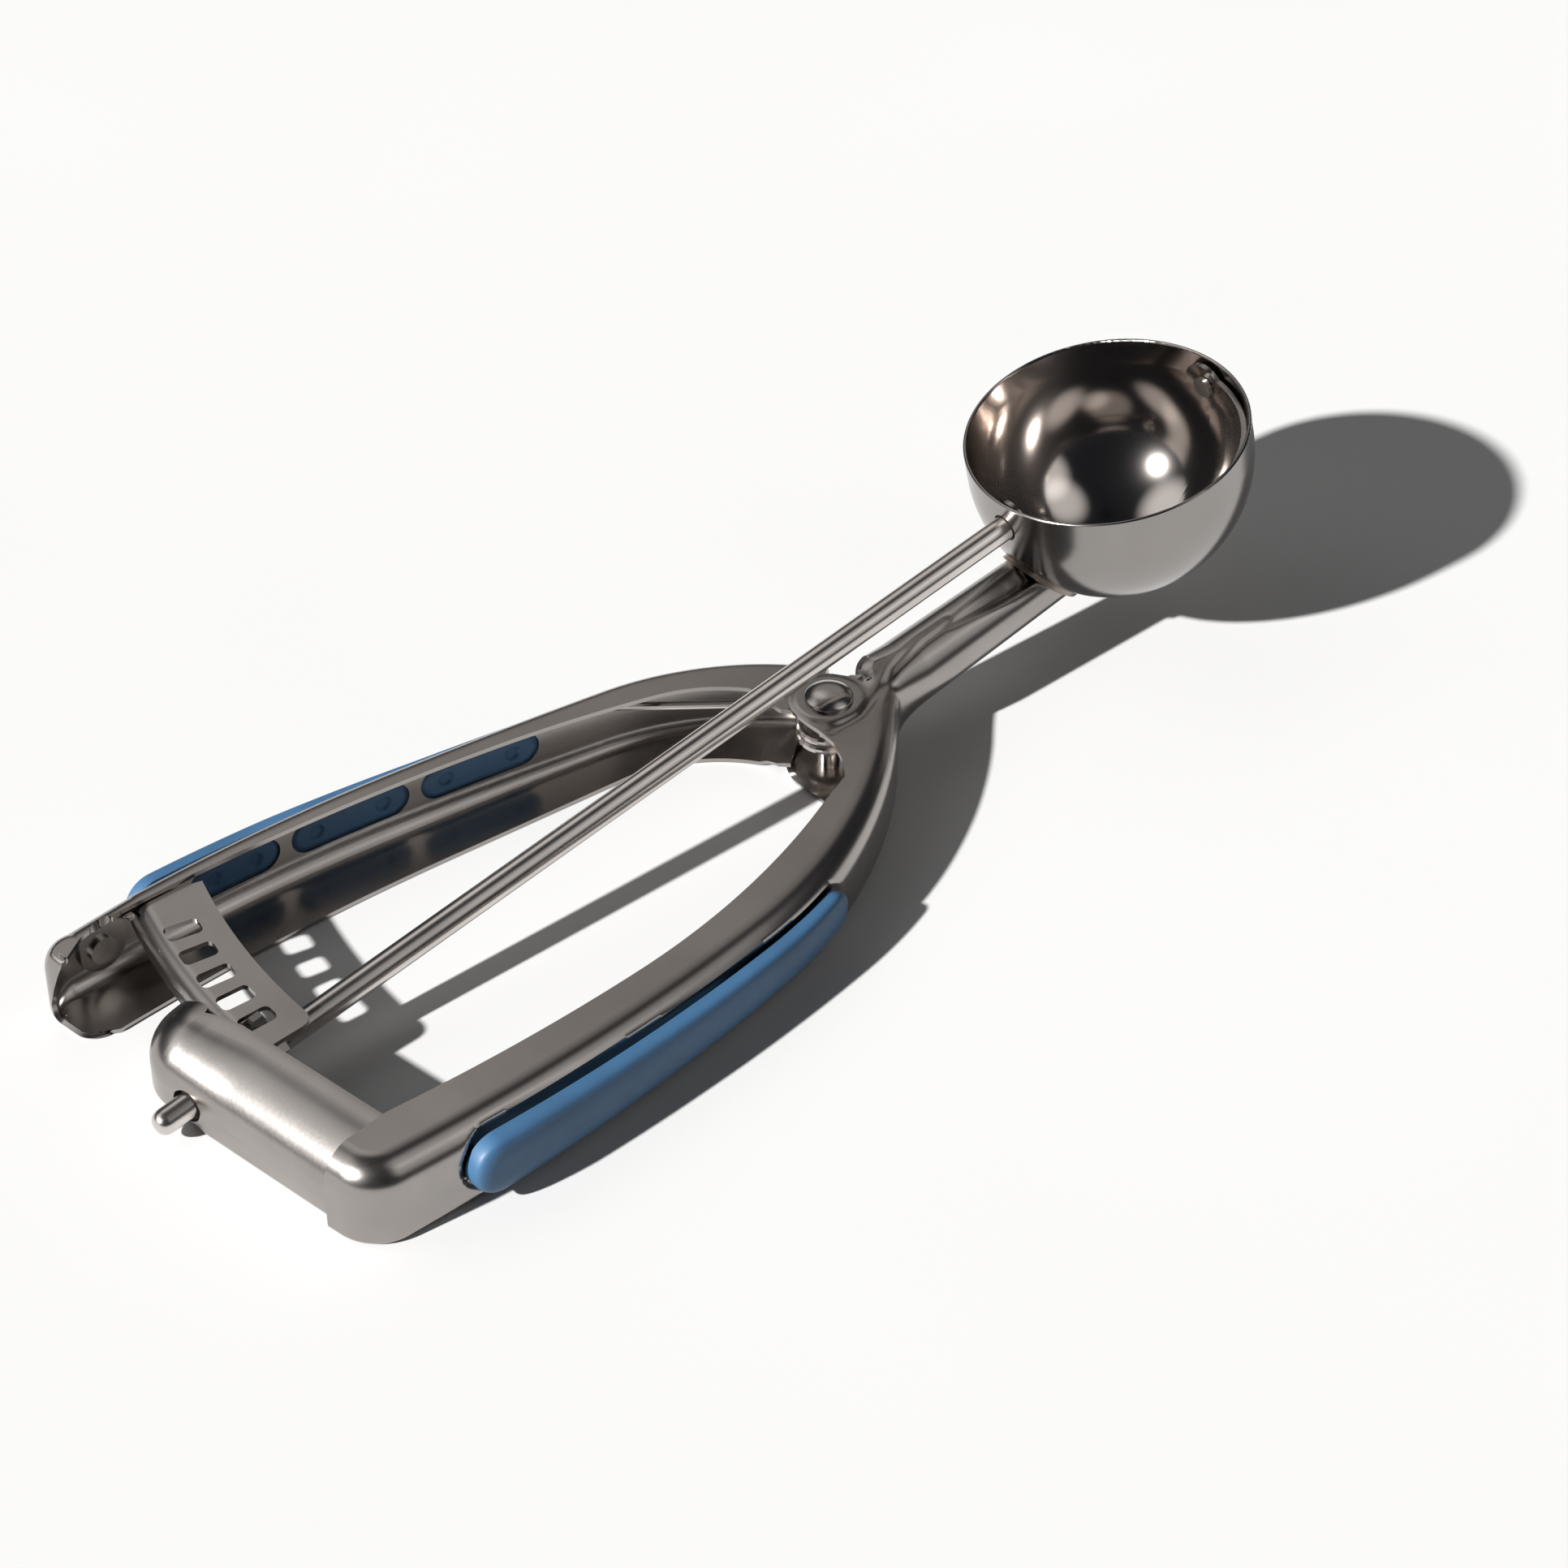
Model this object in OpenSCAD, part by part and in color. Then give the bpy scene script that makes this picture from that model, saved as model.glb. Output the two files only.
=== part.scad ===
// Lever ice cream scoop: a deep round bowl on a rolled neck, two bowed handles
// hinged on a rivet, and a slotted rack that turns a spindle and its sweeper.
// Millimetres. X runs from the handles towards the bowl, Z is up.

/* [Bowl] */
// Outer radius of the bowl
bowl_r = 22.75; // [18:0.25:26]
// Sheet thickness of the bowl
bowl_wall = 0.6; // [0.5:0.05:1]
// Straight wall above the round part
bowl_rise = 4.5; // [2:0.5:8]
// Height of the bowl's centre above the table
bowl_z = 32.36; // [29:0.5:36]
// Turn of the bowl about the spindle, in degrees
bowl_roll = -4.35; // [-10:0.5:10]

/* [Sweeper] */
// Thickness of the sweeper strip
strip_t = 0.8; // [0.5:0.1:1.2]
// Width of the sweeper strip
strip_w = 4.8; // [3:0.2:7]
// Radius of the strip's round ends
strip_end_r = 4; // [3.5:0.25:5.5]

/* [Spindle and pinion] */
// Diameter of the spindle
rod_d = 4; // [3:0.25:4.5]
// Length of the domed tail behind the pinion
tail_len = 20.2; // [17:0.5:24]
// Number of pinion teeth
teeth = 6; // [5:1:7]
// Thickness of the pinion
pinion_t = 1.8; // [1:0.2:2.4]

/* [Rack] */
// Radius of the row of slots about the hinge
rack_r = 106.8; // [104:0.2:109]
// Angle between two slots
slot_step = 3; // [2.8:0.05:3.2]
// Number of slots
slots = 5; // [4:1:5]
// Length of a slot along the radius
slot_len = 5.5; // [4:0.25:6.5]
// Width of a slot
slot_w = 3.2; // [3:0.1:3.6]
// Thickness of the rack plate
rack_t = 0.8; // [0.6:0.1:1]
// Depth of the bent rear edge of the rack
rack_lip = 3.2; // [2:0.2:4]

/* [Handles] */
// Height of the fixed handle
handle_h = 14.2; // [13.4:0.2:16]
// Sheet thickness of both handles
sheet = 0.75; // [0.6:0.05:0.9]
// Radius of the rounded edges of the handles
edge_r = 3.2; // [2.4:0.2:4]
// Bow radius of the fixed handle's long part
bow_r = 322.6; // [310:2:335]
// Bow radius of the fixed handle near the hinge
shoulder_r = 80.6; // [79:0.5:82]
// Radius of the fixed handle's rear corner
corner_r = 8; // [7:0.5:9]
// Bow radius of the moving handle's long part
moving_bow_r = 294; // [285:2:305]
// Bow radius of the moving handle near the hinge
moving_shoulder_r = 50; // [49:0.5:51]
// Length of each grip
grip_len = 76; // [66:1:78]
// Thickness of a grip at its middle
grip_t = 3; // [2:0.25:4]

/* [Hinge] */
// Distance of the hinge behind the bowl's centre
hinge_back = 58.9; // [58:0.1:60]
// Diameter of the hinge rivet's shank
rivet_d = 3.6; // [3:0.2:4]
// Diameter of the hinge rivet's head
rivet_head_d = 7.2; // [6:0.2:8]
// Radius of the ears round the rivet
ear_r = 6.2; // [5.8:0.1:6.6]
// Wire diameter of the spring
wire_d = 1.4; // [1:0.1:1.5]

/* [Neck] */
// Radius of the neck tube at the handle
neck_r = 5.65; // [5:0.1:6.2]
// Radius of the neck tube at the bowl
neck_tip_r = 5.15; // [4.6:0.1:5.6]

/* [Bridge] */
// Radius of the bridge's rounded upper edge
bridge_edge_r = 4; // [3:0.25:4.5]
// Radius of the bridge's closed end
bridge_end_r = 7.5; // [6.5:0.5:8]

/* [Hidden] */
$fn = 64;

// The part's frame has its origin under the middle of the object.
middle = [-80.705, -1.59];
gap = 0.1;            // between flat sheets that slide on each other
hair = 0.02;          // step between two runs of one channel
join = 0.4;           // how far a run reaches back into the one behind it
run_fit = 0.05;       // radial clearance of a turning pin

// Heights of the sheets
moving_top = handle_h - sheet - gap;
bridge_top = handle_h - sheet;
bridge_low = sheet + 0.15;
dimple = 0.9;         // the lower fixed ear rises by this, to hold the rivet's lower head
moving_ear_z = dimple + sheet + gap;
lobe = 0.3;           // the upper fixed ear stands up by this
rack_top = bridge_top - sheet - 0.3;
rack_mid = rack_top - rack_t / 2;

// The pinion's pitch circle rolls on the row of slots, and this sets the spindle's tilt.
pitch_r = rack_r * slot_step * teeth / 360;
reach = rack_r + hinge_back;
drop = bowl_z - rack_mid;
slant = sqrt(reach * reach + drop * drop);
tilt = atan(drop / reach) + asin(pitch_r / slant);
pinion_s = -sqrt(slant * slant - pitch_r * pitch_r);
first_slot = 0.71;    // angle of the slot in mesh, from the hinge's rearward line
hinge_y = -0.4;
mesh_turn = (hinge_y + rack_r * sin(first_slot)) / pitch_r * 180 / PI;

// Neck tube, parallel to the spindle
neck_drop = bowl_r * 0.642;
neck_start = -47.5;   // open rear edge of the neck on its far side
neck_reach = 5;       // the near side reaches this much further back, into the handle
neck_y = -0.3;

// Sweeper, just inside the bowl
strip_out = bowl_r - bowl_wall - 0.3;
strip_in = strip_out - strip_t;
tip_r = 1.2;          // radius of the tip rivet's shank
stub_r = rod_d / 2 - 0.6;

// A handle's outline is a chain of arcs. Each run is [radius, degrees], or [0, length].
function ahead(h) = [cos(h), sin(h)];
function left(h) = [-sin(h), cos(h)];
function arc_end(p, h, run) = run[0] == 0 ? p + run[1] * ahead(h)
    : p + run[0] * left(h) - run[0] * left(h + run[1]);
function arc_turn(h, run) = run[0] == 0 ? h : h + run[1];
function run_points(p, h, run, off, n) = run[0] == 0
    ? [for (i = [0 : n]) p + (run[1] * i / n) * ahead(h) + off * left(h)]
    : [for (i = [0 : n]) let (a = h + run[1] * i / n)
        p + run[0] * left(h) - (run[0] - off) * left(a)];
function chain_points(p, h, runs, off, i = 0) = i == len(runs) ? []
    : concat(run_points(p, h, runs[i], off, 16),
             chain_points(arc_end(p, h, runs[i]), arc_turn(h, runs[i]), runs, off, i + 1));
function backwards(v) = [for (i = [len(v) - 1 : -1 : 0]) v[i]];

// The row of slots crosses the object's middle here, and the rear end is placed from it.
rear = -hinge_back - rack_r;
function turn_of(length, r) = length / r * 180 / PI;

// Outer face of the fixed handle's wall, from the seam at the rear to the neck
fixed_start = [rear - 10.4, -29];
fixed_head = -79.5;
bow_turn = turn_of(rack_r - 37.66, bow_r);
fixed_runs = [[0, 2.4], [corner_r, 76.1], [bow_r, bow_turn], [shoulder_r, 54.55 - bow_turn]];
// Free edge of its upper flange
fixed_edge = chain_points([rear + 1.8, -27.4], -5, [[322, turn_of(rack_r - 61.84, 322)], [128, 20.8]], 0);
// Outer face of the moving handle's wall, drawn on the near side and mirrored
moving_start = [rear - 14.45, -34.74];
moving_head = -3.5;
moving_runs = [[moving_bow_r, turn_of(rack_r - 47.48, moving_bow_r)], [769, 2.89], [moving_shoulder_r, 42]];
moving_edge = chain_points([rear - 2.8, -31.7], 0.65,
    [[370, turn_of(rack_r - 42.22, 370)], [213, 7.4], [25.7, 36]], 0);
moving_low_edge = chain_points([rear - 10.1, -22.55], -3, [[385, 8.67], [0, rack_r - 74], [26, 54]], 0);

module placed() translate([-middle[0], -middle[1], 0]) children();
module tool() placed() translate([0, 0, bowl_z]) rotate([0, -tilt, 0]) children();
module at_hinge() placed() translate([-hinge_back, hinge_y, 0]) children();

// Quarter of a ring, from the X axis to the Y axis
module quarter_ring(r, t) intersection() {
    difference() { circle(r); circle(r - t); }
    square(r + 1);
}

// Section of a channel whose wall's outer face is at x = r, open towards smaller x
module channel_section(r, z0, z1, top_r, low_r, inset) {
    lip = 0.8;
    t = sheet - 2 * inset;
    translate([r - top_r - lip, z1 - inset - t]) square([lip, t]);
    translate([r - top_r, z1 - top_r]) quarter_ring(top_r - inset, t);
    translate([r - inset - t, z0 + low_r]) square([t, z1 - z0 - top_r - low_r]);
    translate([r - low_r, z0 + low_r]) mirror([0, 1]) quarter_ring(low_r - inset, t);
    translate([r - low_r - lip, z0 + inset]) square([lip, t]);
}

// Places a section along one run, starting a little before it. The section's x is
// measured from the run's centre.
module along(p, h, run, before = 0) {
    if (run[0] == 0)
        translate([p[0], p[1], 0]) rotate([0, 0, h - 90]) rotate([90, 0, 0])
            translate([0, 0, -run[1]]) linear_extrude(run[1] + before) children();
    else {
        early = before / run[0] * 180 / PI;
        translate(concat(p + run[0] * left(h), 0)) rotate([0, 0, h - 90 - early])
            rotate_extrude(angle = run[1] + early, $fn = 180) children();
    }
}

// Each run of a channel lies a hair inside the one behind it and reaches back into it.
module channel(p, h, runs, z0, z1, top_r, low_r, i = 0) {
    if (i < len(runs)) {
        along(p, h, runs[i], i == 0 ? 0 : join)
            channel_section(runs[i][0], z0, z1, top_r, low_r, i * hair);
        channel(arc_end(p, h, runs[i]), arc_turn(h, runs[i]), runs, z0, z1, top_r, low_r, i + 1);
    }
}

module flange(outer, inner, z) translate([0, 0, z]) linear_extrude(sheet)
    polygon(concat(outer, backwards(inner)));

// Three long windows in a handle's wall, as upright slots cut along Y
windows = [for (w = [[11.1, 27.1], [29.1, 49.4], [51.4, 71.7]]) [rear + w[0], rear + w[1]]];
window_z = [3.6, 10];
module window_bars(y0, y1) for (w = windows) {
    r = 1.6;
    x0 = w[0];
    x1 = w[1];
    z0 = window_z[0];
    z1 = window_z[1];
    translate([0, y1, 0]) rotate([90, 0, 0]) linear_extrude(y1 - y0) {
        translate([x0 + r, z0]) square([x1 - x0 - 2 * r, z1 - z0]);
        translate([x0, z0 + r]) square([x1 - x0, z1 - z0 - 2 * r]);
        for (x = [x0 + r, x1 - r]) for (z = [z0 + r, z1 - r]) translate([x, z]) circle(r);
    }
}

module bowl() color([0.72, 0.7, 0.68]) tool() rotate([bowl_roll, 0, 0]) difference() {
    rotate_extrude($fn = 180) {
        intersection() {
            difference() { circle(bowl_r, $fn = 180); circle(bowl_r - bowl_wall, $fn = 180); }
            translate([0, -bowl_r - 1]) square([bowl_r + 1, bowl_r + 1]);
        }
        translate([bowl_r - bowl_wall, 0]) square([bowl_wall, bowl_rise]);
        translate([bowl_r - bowl_wall / 2, bowl_rise]) circle(bowl_wall / 2);
    }
    rotate([0, -90, 0]) translate([0, 0, bowl_r - 2]) cylinder(r = rod_d / 2 + 0.3, h = 4);
    rotate([0, 90, 0]) translate([0, 0, bowl_r - 2]) cylinder(r = tip_r, h = 4);
}

// Cone of the neck, grown by g
module neck_cone(g, from, to) translate([0, neck_y, -neck_drop]) rotate([0, 90, 0])
    translate([0, 0, from]) cylinder(h = to - from,
        r1 = neck_r + g + (neck_tip_r - neck_r) * (from - neck_start) / (-22 - neck_start),
        r2 = neck_r + g + (neck_tip_r - neck_r) * (to - neck_start) / (-22 - neck_start));

module neck_weld() color([0.6, 0.56, 0.52]) tool() difference() {
    intersection() {
        sphere(bowl_r + 0.7, $fn = 180);
        neck_cone(0.8, -26, -6);
    }
    sphere(bowl_r, $fn = 180);
    neck_cone(0, -30, -2);
}

module fixed_ear_outline() {
    translate([-hinge_back, hinge_y]) circle(ear_r);
    polygon([[-64.9, -2.4], [-64.9, -7.5], [-66.3, -12], [-68.5, -15.4], [-73.6, -17.4], [-66, -16.6],
             [-56.5, -9.5], [-52, -4.5], [-46.8, -2], [-46.8, 1.6], [-51.2, 0.9], [-53, 2]]);
}

module fixed_handle() color([0.68, 0.66, 0.64]) {
    placed() difference() {
        union() {
            channel(fixed_start, fixed_head, fixed_runs, 0, handle_h, edge_r, edge_r);
            for (z = [0, handle_h - sheet]) {
                flange(chain_points(fixed_start, fixed_head, fixed_runs, edge_r + 0.4),
                       fixed_edge, z);
                translate([0, 0, z]) linear_extrude(sheet) fixed_ear_outline();
            }
            // raised lobe over the rivet, and the dimple under it
            translate([-hinge_back, hinge_y, handle_h - sheet]) cylinder(r = ear_r - 0.5, h = sheet + lobe);
            translate([-hinge_back, hinge_y, 0]) cylinder(r = ear_r - 0.4, h = dimple + sheet);
            // slanted floor from the lower flange up to the neck
            hull() {
                translate([-53.4, -5.5, 0]) cube([1, 6.5, sheet]);
                translate([-47.4, neck_y - 1.3, bowl_z - neck_drop / cos(tilt) - neck_r - 47 * tan(tilt) + 0.2])
                    cube([1, 2.6, sheet]);
            }
        }
        translate([-hinge_back, hinge_y, -1]) cylinder(r = ear_r - 0.4 - sheet, h = 1 + dimple);
        translate([-hinge_back, hinge_y, handle_h - sheet - 1]) cylinder(r = ear_r - 1.2, h = 1 + lobe);
        translate([-hinge_back, hinge_y, -1]) cylinder(r = rivet_d / 2, h = handle_h + 4);
        window_bars(-45, -30);
        // room inside the neck
        translate([0, 0, bowl_z]) rotate([0, -tilt, 0]) neck_cone(-sheet / 2, neck_start - neck_reach - 1, -20);
    }
    // neck tube, its front end cut to the bowl
    tool() difference() {
        neck_cone(0, neck_start - neck_reach, -4);
        neck_cone(-sheet, neck_start - neck_reach - 1, -3);
        sphere(bowl_r, $fn = 180);
        translate([neck_start - neck_reach - 1, neck_y + 1, -neck_drop - neck_r - 1])
            cube([neck_reach + 1, neck_r, 2 * neck_r + 2]);
        // pressed dent on the top, near the bowl
        translate([-30, neck_y, neck_tip_r - neck_drop + 0.35]) rotate([0, 91, 0])
            cylinder(r1 = 0.1, r2 = 0.65, h = 9);
    }
}

bridge_head = 190.5;
bridge_start = [rear - 5.5, 11.5];
bridge_runs = [[0, 2.6], [bridge_end_r, 90], [0, 33]];
bridge_front = [for (p = [[-4.7, 10.6], [-4.1, 8.2], [-3.5, 4.5], [-2.8, 0], [1.8, -27.4]]) [rear + p[0], p[1]]];
bridge_low_front = [for (p = [[-5.7, 10.6], [-5.3, 8], [-4.8, 4.5], [-4.3, 0], [-0.5, -26.4]])
    [rear + p[0], p[1]]];

module bridge() color([0.66, 0.64, 0.62]) difference() {
    placed() union() {
        channel(bridge_start, bridge_head, bridge_runs, bridge_low, bridge_top, bridge_edge_r, 2.5);
        flange(chain_points(bridge_start, bridge_head, bridge_runs, bridge_edge_r + 0.4),
               bridge_front, bridge_top - sheet);
        flange(chain_points(bridge_start, bridge_head, bridge_runs, 2.9),
               bridge_low_front, bridge_low);
    }
    tool() rotate([0, 90, 0]) translate([0, 0, pinion_s - tail_len]) cylinder(r = rod_d / 2 + 0.6, h = 14);
}

function run_start(p, h, runs, i) = i == 0 ? [p, h]
    : run_start(arc_end(p, h, runs[0]), arc_turn(h, runs[0]), [for (k = [1 : len(runs) - 1]) runs[k]], i - 1);

// Layer that follows two runs of a handle's wall. Its section is drawn from the wall's
// outer face, and the second run lies a hair inside the first.
module grip_band(p, h, runs, first, plug) for (i = [0, 1]) {
    at = run_start(p, h, runs, first + i);
    run = runs[first + i];
    along(at[0], at[1], run, i * join) translate([run[0], 0]) if (plug) plug_section(i * hair);
        else pad_section(i * hair);
}

// Domed section of a pad
module pad_section(inset) intersection() {
    translate([grip_t - 9, handle_h / 2]) circle(9 - inset);
    translate([inset, 1 + inset]) square([grip_t + 1, handle_h - 2 - 2 * inset]);
}

// Section of a plug's layer, through the wall and a little inside it
module plug_section(inset) translate([-sheet - 0.5 + inset, 1 + inset])
    square([sheet + 1 - 2 * inset, handle_h - 2 - 2 * inset]);

module grip_outline(x0) {
    low = 4.9;
    high = 3.4;
    front = x0 + grip_len - high;
    translate([x0 + low, handle_h / 2]) circle(low);
    translate([front, handle_h / 2 + 0.6]) circle(high);
    polygon([[x0 + low, handle_h / 2 - low], [front, handle_h / 2 + 0.6 - high],
             [front, handle_h / 2 + 0.6 + high], [x0 + low, handle_h / 2 + low]]);
}

// A pad on a handle's wall, with a plug through each window
module grip(p, h, runs, first, x0) {
    intersection() {
        grip_band(p, h, runs, first, false);
        translate([0, -15, 0]) rotate([90, 0, 0]) linear_extrude(40) grip_outline(x0);
    }
    intersection() {
        window_bars(-45, -20);
        grip_band(p, h, runs, first, true);
    }
}

module fixed_grip() color([0.2, 0.42, 0.6]) placed()
    grip(fixed_start, fixed_head, fixed_runs, 2, rear + 7.2);

module moving_grip() color([0.2, 0.42, 0.6]) placed() mirror([0, 1, 0])
    grip(moving_start, moving_head, moving_runs, 0, rear + 5.7);

module moving_ear_outline() {
    translate([-hinge_back, -hinge_y]) circle(ear_r - 0.2);
    polygon([[-65, -2], [-66.8, -9.6], [-60, -10.6], [-56.5, -7.8], [-53.2, -5.4], [-54, -2]]);
}

module moving_handle() color([0.68, 0.66, 0.64]) placed() mirror([0, 1, 0]) difference() {
    wide = [-hinge_back, -hinge_y];
    union() {
        difference() {
            channel(moving_start, moving_head, moving_runs, 0, moving_top, edge_r, edge_r);
            translate(concat(wide, -1)) cylinder(r = ear_r + 0.5, h = moving_ear_z + 0.8);
        }
        flange(chain_points(moving_start, moving_head, moving_runs, edge_r + 0.4), moving_edge,
               moving_top - sheet);
        translate([0, 0, moving_top - sheet]) linear_extrude(sheet) moving_ear_outline();
        difference() {
            flange(chain_points(moving_start, moving_head, moving_runs, edge_r + 0.4),
                   moving_low_edge, 0);
            translate(concat(wide, -1)) cylinder(r = ear_r + 2, h = 4);
        }
        translate([0, 0, moving_ear_z]) linear_extrude(sheet) moving_ear_outline();
        // step up from the lower flange to the lower ear
        intersection() {
            linear_extrude(moving_ear_z + sheet) moving_ear_outline();
            translate(wide) difference() {
                cylinder(r = ear_r + 2.75, h = 10);
                translate([0, 0, -1]) cylinder(r = ear_r + 2, h = 12);
            }
        }
    }
    translate(concat(wide, -1)) cylinder(r = rivet_d / 2 + run_fit, h = handle_h + 4);
    translate(concat(arc_end(moving_start, moving_head, [moving_bow_r, lug_turn]), 6))
        rotate([0, 0, moving_head + lug_turn - 90]) rotate([0, 90, 0])
            cylinder(r = rack_rivet_r, h = 8, center = true);
    window_bars(-45, -20);
}

// Places something on the moving handle's wall: x points out of the wall's outer face
module on_moving_wall(turn) placed() mirror([0, 1, 0])
    translate(concat(arc_end(moving_start, moving_head, [moving_bow_r, turn]), 0))
        rotate([0, 0, moving_head + turn - 90]) children();

lug_t = 0.8;
lug_turn = 1.8;       // where the rack's rivet sits, in degrees along the wall
rack_rivet_r = 1.5;

// Bent end of the rack, against the inside of the moving handle's wall
module rack_lug() difference() {
    placed() mirror([0, 1, 0]) along(arc_end(moving_start, moving_head, [moving_bow_r, 0.8]),
            moving_head + 0.8, [moving_bow_r, 1.9]) translate([moving_bow_r - sheet - 0.01, 0])
        polygon([[-2.8, rack_top], [-1.7, rack_top], [0, rack_top - 2.3], [0, edge_r + 0.1], [-lug_t, edge_r + 0.1],
                 [-lug_t, rack_top - 2.6], [-2, rack_top - rack_t], [-2.8, rack_top - rack_t]]);
    on_moving_wall(lug_turn) translate([-5, 0, 6]) rotate([0, 90, 0]) cylinder(r = rack_rivet_r, h = 8);
}

module rack() color([0.62, 0.6, 0.58]) {
    rack_lug();
    placed() translate([rear, 0, rack_top - rack_t]) linear_extrude(rack_t)
        polygon([[8.7, 27.4], [-1.3, 30], [-3.8, 31.2], [-9.3, 31.6], [-9.5, 32.3],
                 [-1.8, 32.9], [8.3, 32.8], [9.5, 30.5]]);
    at_hinge() rack_plate();
}

module rack_plate() {
    start = -2.3;
    end = 16.3;
    difference() {
        translate([0, 0, rack_top - rack_t]) rotate([0, 0, 180 - end])
            rotate_extrude(angle = end - start, $fn = 180)
                translate([rack_r - 6.2, 0]) square([11.4, rack_t]);
        for (i = [0 : slots - 1]) rotate([0, 0, -first_slot - i * slot_step])
            translate([-rack_r, 0, rack_top - 2]) linear_extrude(4) {
                r = 0.9;
                square([slot_len - 2 * r, slot_w], center = true);
                square([slot_len, slot_w - 2 * r], center = true);
                for (x = [-1, 1]) for (y = [-1, 1])
                    translate([x * (slot_len / 2 - r), y * (slot_w / 2 - r)]) circle(r);
            }
    }
    translate([0, 0, rack_top - rack_lip]) rotate([0, 0, 180 - end])
        rotate_extrude(angle = end - start, $fn = 180)
            translate([rack_r + 4.4, 0]) square([rack_t, rack_lip]);
}

module rack_rivet() color([0.7, 0.68, 0.66]) on_moving_wall(lug_turn) translate([0, 0, 6])
    rotate([0, 90, 0]) rotate_extrude() {
        translate([0, -sheet - lug_t - 0.7]) square([rack_rivet_r, sheet + lug_t + 1.2]);
        translate([0, -sheet - lug_t - 0.7]) square([rack_rivet_r + 0.8, 0.65]);
        translate([0, 0.03]) square([rack_rivet_r + 0.8, 0.6]);
    }

module pivot_rivet() color([0.75, 0.73, 0.71]) at_hinge() {
    rotate_extrude($fn = 96) {
        translate([0, dimple]) square([rivet_d / 2, handle_h + lobe - dimple]);
        translate([0, 0.1]) square([rivet_head_d / 2, dimple - 0.1]);
        intersection() {
            translate([0, handle_h + lobe + 1.25 - 5.8]) circle(5.8, $fn = 96);
            translate([0, handle_h + lobe]) square([rivet_head_d / 2, 3]);
        }
    }
}

// Wire path of the spring: a straight leg, the coil and the other leg
coil_r = 4.3;
coil_base = 6.4;
coil_from = -38;
coil_to = 51.4 + 720;
fixed_leg = 23;
moving_leg = 33;
function coil_point(a) = [coil_r * cos(a), coil_r * sin(a),
    coil_base + (a - coil_from) / 360 * (wire_d + 0.25)];
function spring_path() = concat(
    [coil_point(coil_from) - fixed_leg * concat(left(coil_from), 0)],
    [for (i = [0 : coil_steps]) coil_point(coil_from + (coil_to - coil_from) * i / coil_steps)],
    [coil_point(coil_to) + moving_leg * concat(left(coil_to), 0)]);
coil_steps = 60;
sides = 12;

module torsion_spring() color([0.6, 0.58, 0.56]) at_hinge() {
    path = spring_path();
    last = len(path) - 1;
    points = [for (i = [0 : last])
        let (a = i == 0 ? coil_from : i == last ? coil_to
                : coil_from + (coil_to - coil_from) * (i - 1) / coil_steps)
        for (k = [0 : sides - 1]) let (b = 360 * k / sides)
            path[i] + wire_d / 2 * (cos(b) * [cos(a), sin(a), 0] + sin(b) * [0, 0, 1])];
    faces = concat([[for (k = [sides - 1 : -1 : 0]) k]],
        [for (i = [0 : last - 1]) for (k = [0 : sides - 1]) let (n = (k + 1) % sides)
            [i * sides + k, i * sides + n, (i + 1) * sides + n, (i + 1) * sides + k]],
        [[for (k = [0 : sides - 1]) last * sides + k]]);
    polyhedron(points, faces);
}

module tip_rivet() color([0.75, 0.73, 0.71]) tool() difference() {
    rotate([0, 90, 0]) rotate_extrude() {
        translate([0, strip_in - 0.9]) square([tip_r, bowl_r + 0.4 - strip_in + 0.9]);
        translate([0, strip_in - 0.9]) square([tip_r + 0.6, 0.7]);
        intersection() {
            translate([0, bowl_r + 1.1 - 2.4]) circle(2.4);
            translate([0, bowl_r - 0.3]) square([1.95, 2]);
        }
    }
    difference() {
        sphere(bowl_r, $fn = 180);
        sphere(bowl_r - bowl_wall - 0.01, $fn = 180);
        rotate([0, 90, 0]) cylinder(r = tip_r, h = 40);
    }
}

module spindle() color([0.7, 0.68, 0.66]) tool() rotate([0, 90, 0]) {
    tail = pinion_s - tail_len;
    translate([0, 0, tail + 1.2]) cylinder(d = rod_d, h = -strip_out - 0.1 - tail - 1.2);
    translate([0, 0, tail]) cylinder(r1 = rod_d / 2 - 0.9, r2 = rod_d / 2, h = 1.2);
    translate([0, 0, -strip_out - 1]) cylinder(r = stub_r, h = strip_t + 1.3);
    translate([0, 0, -strip_in + 0.16]) cylinder(r1 = stub_r + 0.9, r2 = stub_r, h = 0.8);
}

module pinion() color([0.66, 0.64, 0.62]) tool() translate([pinion_s, 0, 0]) rotate([0, 90, 0])
    translate([0, 0, -pinion_t / 2]) difference() {
        linear_extrude(pinion_t) {
            circle(pitch_r - 1.9);
            for (i = [0 : teeth - 1]) rotate([0, 0, 180 - mesh_turn + i * 360 / teeth])
                polygon([[0, -1.35], [pitch_r - 0.3, -1.15], [pitch_r + 0.95, -0.7],
                         [pitch_r + 0.95, 0.7], [pitch_r - 0.3, 1.15], [0, 1.35]]);
        }
        translate([0, 0, -1]) cylinder(d = rod_d, h = pinion_t + 2);
    }

module sweeper() color([0.7, 0.68, 0.66]) tool() rotate([bowl_roll, 0, 0]) difference() {
    intersection() {
        difference() { sphere(strip_out, $fn = 180); sphere(strip_in, $fn = 180); }
        union() {
            translate([-bowl_r, -bowl_r, -strip_w / 2]) cube([2 * bowl_r, bowl_r, strip_w]);
            rotate([0, 90, 0]) cylinder(r = strip_end_r, h = 2 * bowl_r, center = true);
        }
    }
    rotate([0, -90, 0]) cylinder(r = stub_r, h = bowl_r);
    rotate([0, 90, 0]) cylinder(r = tip_r + run_fit, h = bowl_r);
}

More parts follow.
